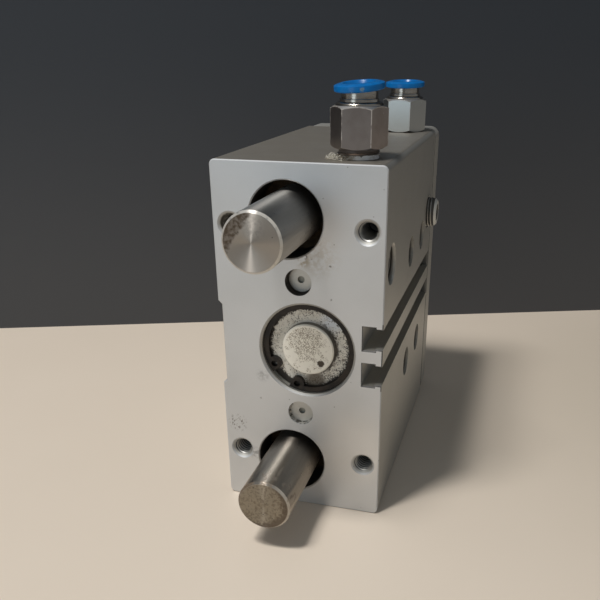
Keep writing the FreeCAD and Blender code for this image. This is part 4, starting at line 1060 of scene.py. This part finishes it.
def spin_section(points):
    """A bmesh of a closed section, in millimetres, spun about the Z axis."""
    bm = bmesh.new()
    section = [bm.verts.new((radius * MM, 0, z * MM)) for radius, z in points]
    loop = [bm.edges.new((section[i - 1], section[i])) for i in range(len(section))]
    bmesh.ops.spin(
        bm,
        geom=section + loop,
        cent=(0, 0, 0),
        axis=Z_AXIS,
        angle=math.tau,
        steps=ROUND_SEGMENTS,
        use_merge=True,
    )
    return bm


def turned_sleeve(name, y, hex_top, node):
    """The turned neck that stands on a fitting's hexagon."""
    bm = spin_section(SLEEVE_SECTION)
    bmesh.ops.translate(bm, vec=Vector((FITTING_X, y, hex_top)) * MM, verts=bm.verts)
    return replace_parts(finish_piece(name, bm, "body", "nickel_sleeve"), node)


def release_ring(name, body, y, base, roll, nod, node):
    """A ring on its fitting's axis, its disc tipped by two angles in degrees."""
    bm = spin_section(RING_SECTION)
    disc = [vert for vert in bm.verts if vert.co.z > -MM]
    turn = math.radians(AZIMUTH)
    sight = Vector((-math.sin(turn), math.cos(turn), 0))
    across = Vector((math.cos(turn), math.sin(turn), 0))
    rolled = Matrix.Rotation(math.radians(-roll), 3, sight)
    nodded = Matrix.Rotation(math.radians(nod), 3, across)
    bmesh.ops.rotate(bm, cent=(0, 0, 0), matrix=rolled @ nodded, verts=disc)
    bmesh.ops.translate(bm, vec=Vector((FITTING_X, y, base)) * MM, verts=bm.verts)
    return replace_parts(finish_piece(name, bm, body, "ring_plastic"), node)


turned_sleeve("rear_turned_sleeve", REAR_FITTING_Y, REAR_HEX_TOP, "rear_fitting_sleeve")
turned_sleeve("front_turned_sleeve", FRONT_FITTING_Y, FRONT_HEX_TOP, "front_fitting_sleeve")
release_ring("rear_blue_ring", "rear_ring", REAR_FITTING_Y, REAR_RING_BASE,
             4.4, 3.4, "rear_release_ring")
release_ring("front_blue_ring", "front_ring", FRONT_FITTING_Y, FRONT_RING_BASE,
             1.0, 2.4, "front_release_ring")

# %% [markdown]
# The rear fitting isn't screwed right down, so a turn of its thread shows, wrapped in white tape that
# has frayed. The wrap is a band of two rings whose upper edge is pushed about by noise. The
# shreds are small grids, bent at random from a fixed seed, lying on the block by the thread.

# %% Bare thread and tape
BARE_CORE = 4.80
BARE_CREST = 5.12
WRAP_R = 4.95
WRAP_TALL = 0.95
WRAP_TAPER = 0.985
WRAP_THICK = 0.12
SHREDS = 110
SHRED_THICK = 0.03
SHRED_BEARING = 205
SHRED_SPREAD = 26
SHRED_NEAREST = 4.9
SHRED_FARTHEST = 8.0

bare_thread = bmesh.new()
mouth = (FITTING_X, REAR_FITTING_Y, TOP_Z + 0.25)
wind_thread(bare_thread, mouth, (0, 0, 1), BARE_CORE, BARE_CREST, PLUG_PITCH, 1.4)
finish_piece("bare_fitting_thread", bare_thread, "body", "nickel_brass")

wrap = bmesh.new()
bmesh.ops.create_circle(wrap, segments=ROUND_SEGMENTS, radius=WRAP_R * MM)
foot = wrap.edges[:]
upper = carry_ring(wrap, foot, (0, 0, WRAP_TALL * MM), WRAP_TAPER)
for vert in {vert for item in upper for vert in item.verts}:
    vert.co.z += noise.noise(vert.co / MM * 1.7) * 0.35 * MM
for vert in wrap.verts:
    vert.co += vert.co.normalized() * noise.noise(vert.co / MM * 2.3) * 0.10 * MM
bmesh.ops.solidify(wrap, geom=wrap.faces[:], thickness=WRAP_THICK * MM)
spot = Vector((FITTING_X, REAR_FITTING_Y, TOP_Z + 0.08)) * MM
bmesh.ops.translate(wrap, vec=spot, verts=wrap.verts)
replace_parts(finish_piece("frayed_tape_wrap", wrap, "body", "thread_tape"), "rear_thread_tape")

shreds = bmesh.new()
chance = random.Random(7)
for number in range(SHREDS):
    made = bmesh.ops.create_grid(shreds, x_segments=4, y_segments=1, size=0.5 * MM)["verts"]
    long = chance.uniform(0.5, 2.0)
    bmesh.ops.scale(shreds, vec=(long, chance.uniform(0.06, 0.20), 1), verts=made)
    for vert in made:
        vert.co.z += abs(noise.noise(vert.co / MM * 1.3 + Vector((number, 0, 0)))) * 0.5 * MM
        vert.co.y += noise.noise(vert.co / MM + Vector((0, number, 0))) * 0.5 * MM
    bearing = math.radians(chance.gauss(SHRED_BEARING, SHRED_SPREAD))
    out = chance.uniform(SHRED_NEAREST, SHRED_FARTHEST)
    lean = math.radians(chance.uniform(0, 35))
    lie = Matrix.Rotation(chance.uniform(0, math.tau), 3, "Z") @ Matrix.Rotation(lean, 3, "Y")
    bmesh.ops.rotate(shreds, cent=(0, 0, 0), matrix=lie, verts=made)
    heaped = (SHRED_FARTHEST - out) / (SHRED_FARTHEST - SHRED_NEAREST)
    lift = long * 0.5 * math.sin(lean) + 0.04 + chance.uniform(0, 0.6) * heaped
    x = FITTING_X + out * math.cos(bearing)
    y = REAR_FITTING_Y + out * math.sin(bearing)
    bmesh.ops.translate(shreds, vec=Vector((x, y, TOP_Z + lift)) * MM, verts=made)
bmesh.ops.solidify(shreds, geom=shreds.faces[:], thickness=SHRED_THICK * MM)
finish_piece("tape_shreds", shreds, "body", "thread_tape")

# %% [markdown]
# The added pieces all lie inside the CAD box. Only the top differs: the low domes of the rings end
# about a quarter of a millimetre lower.
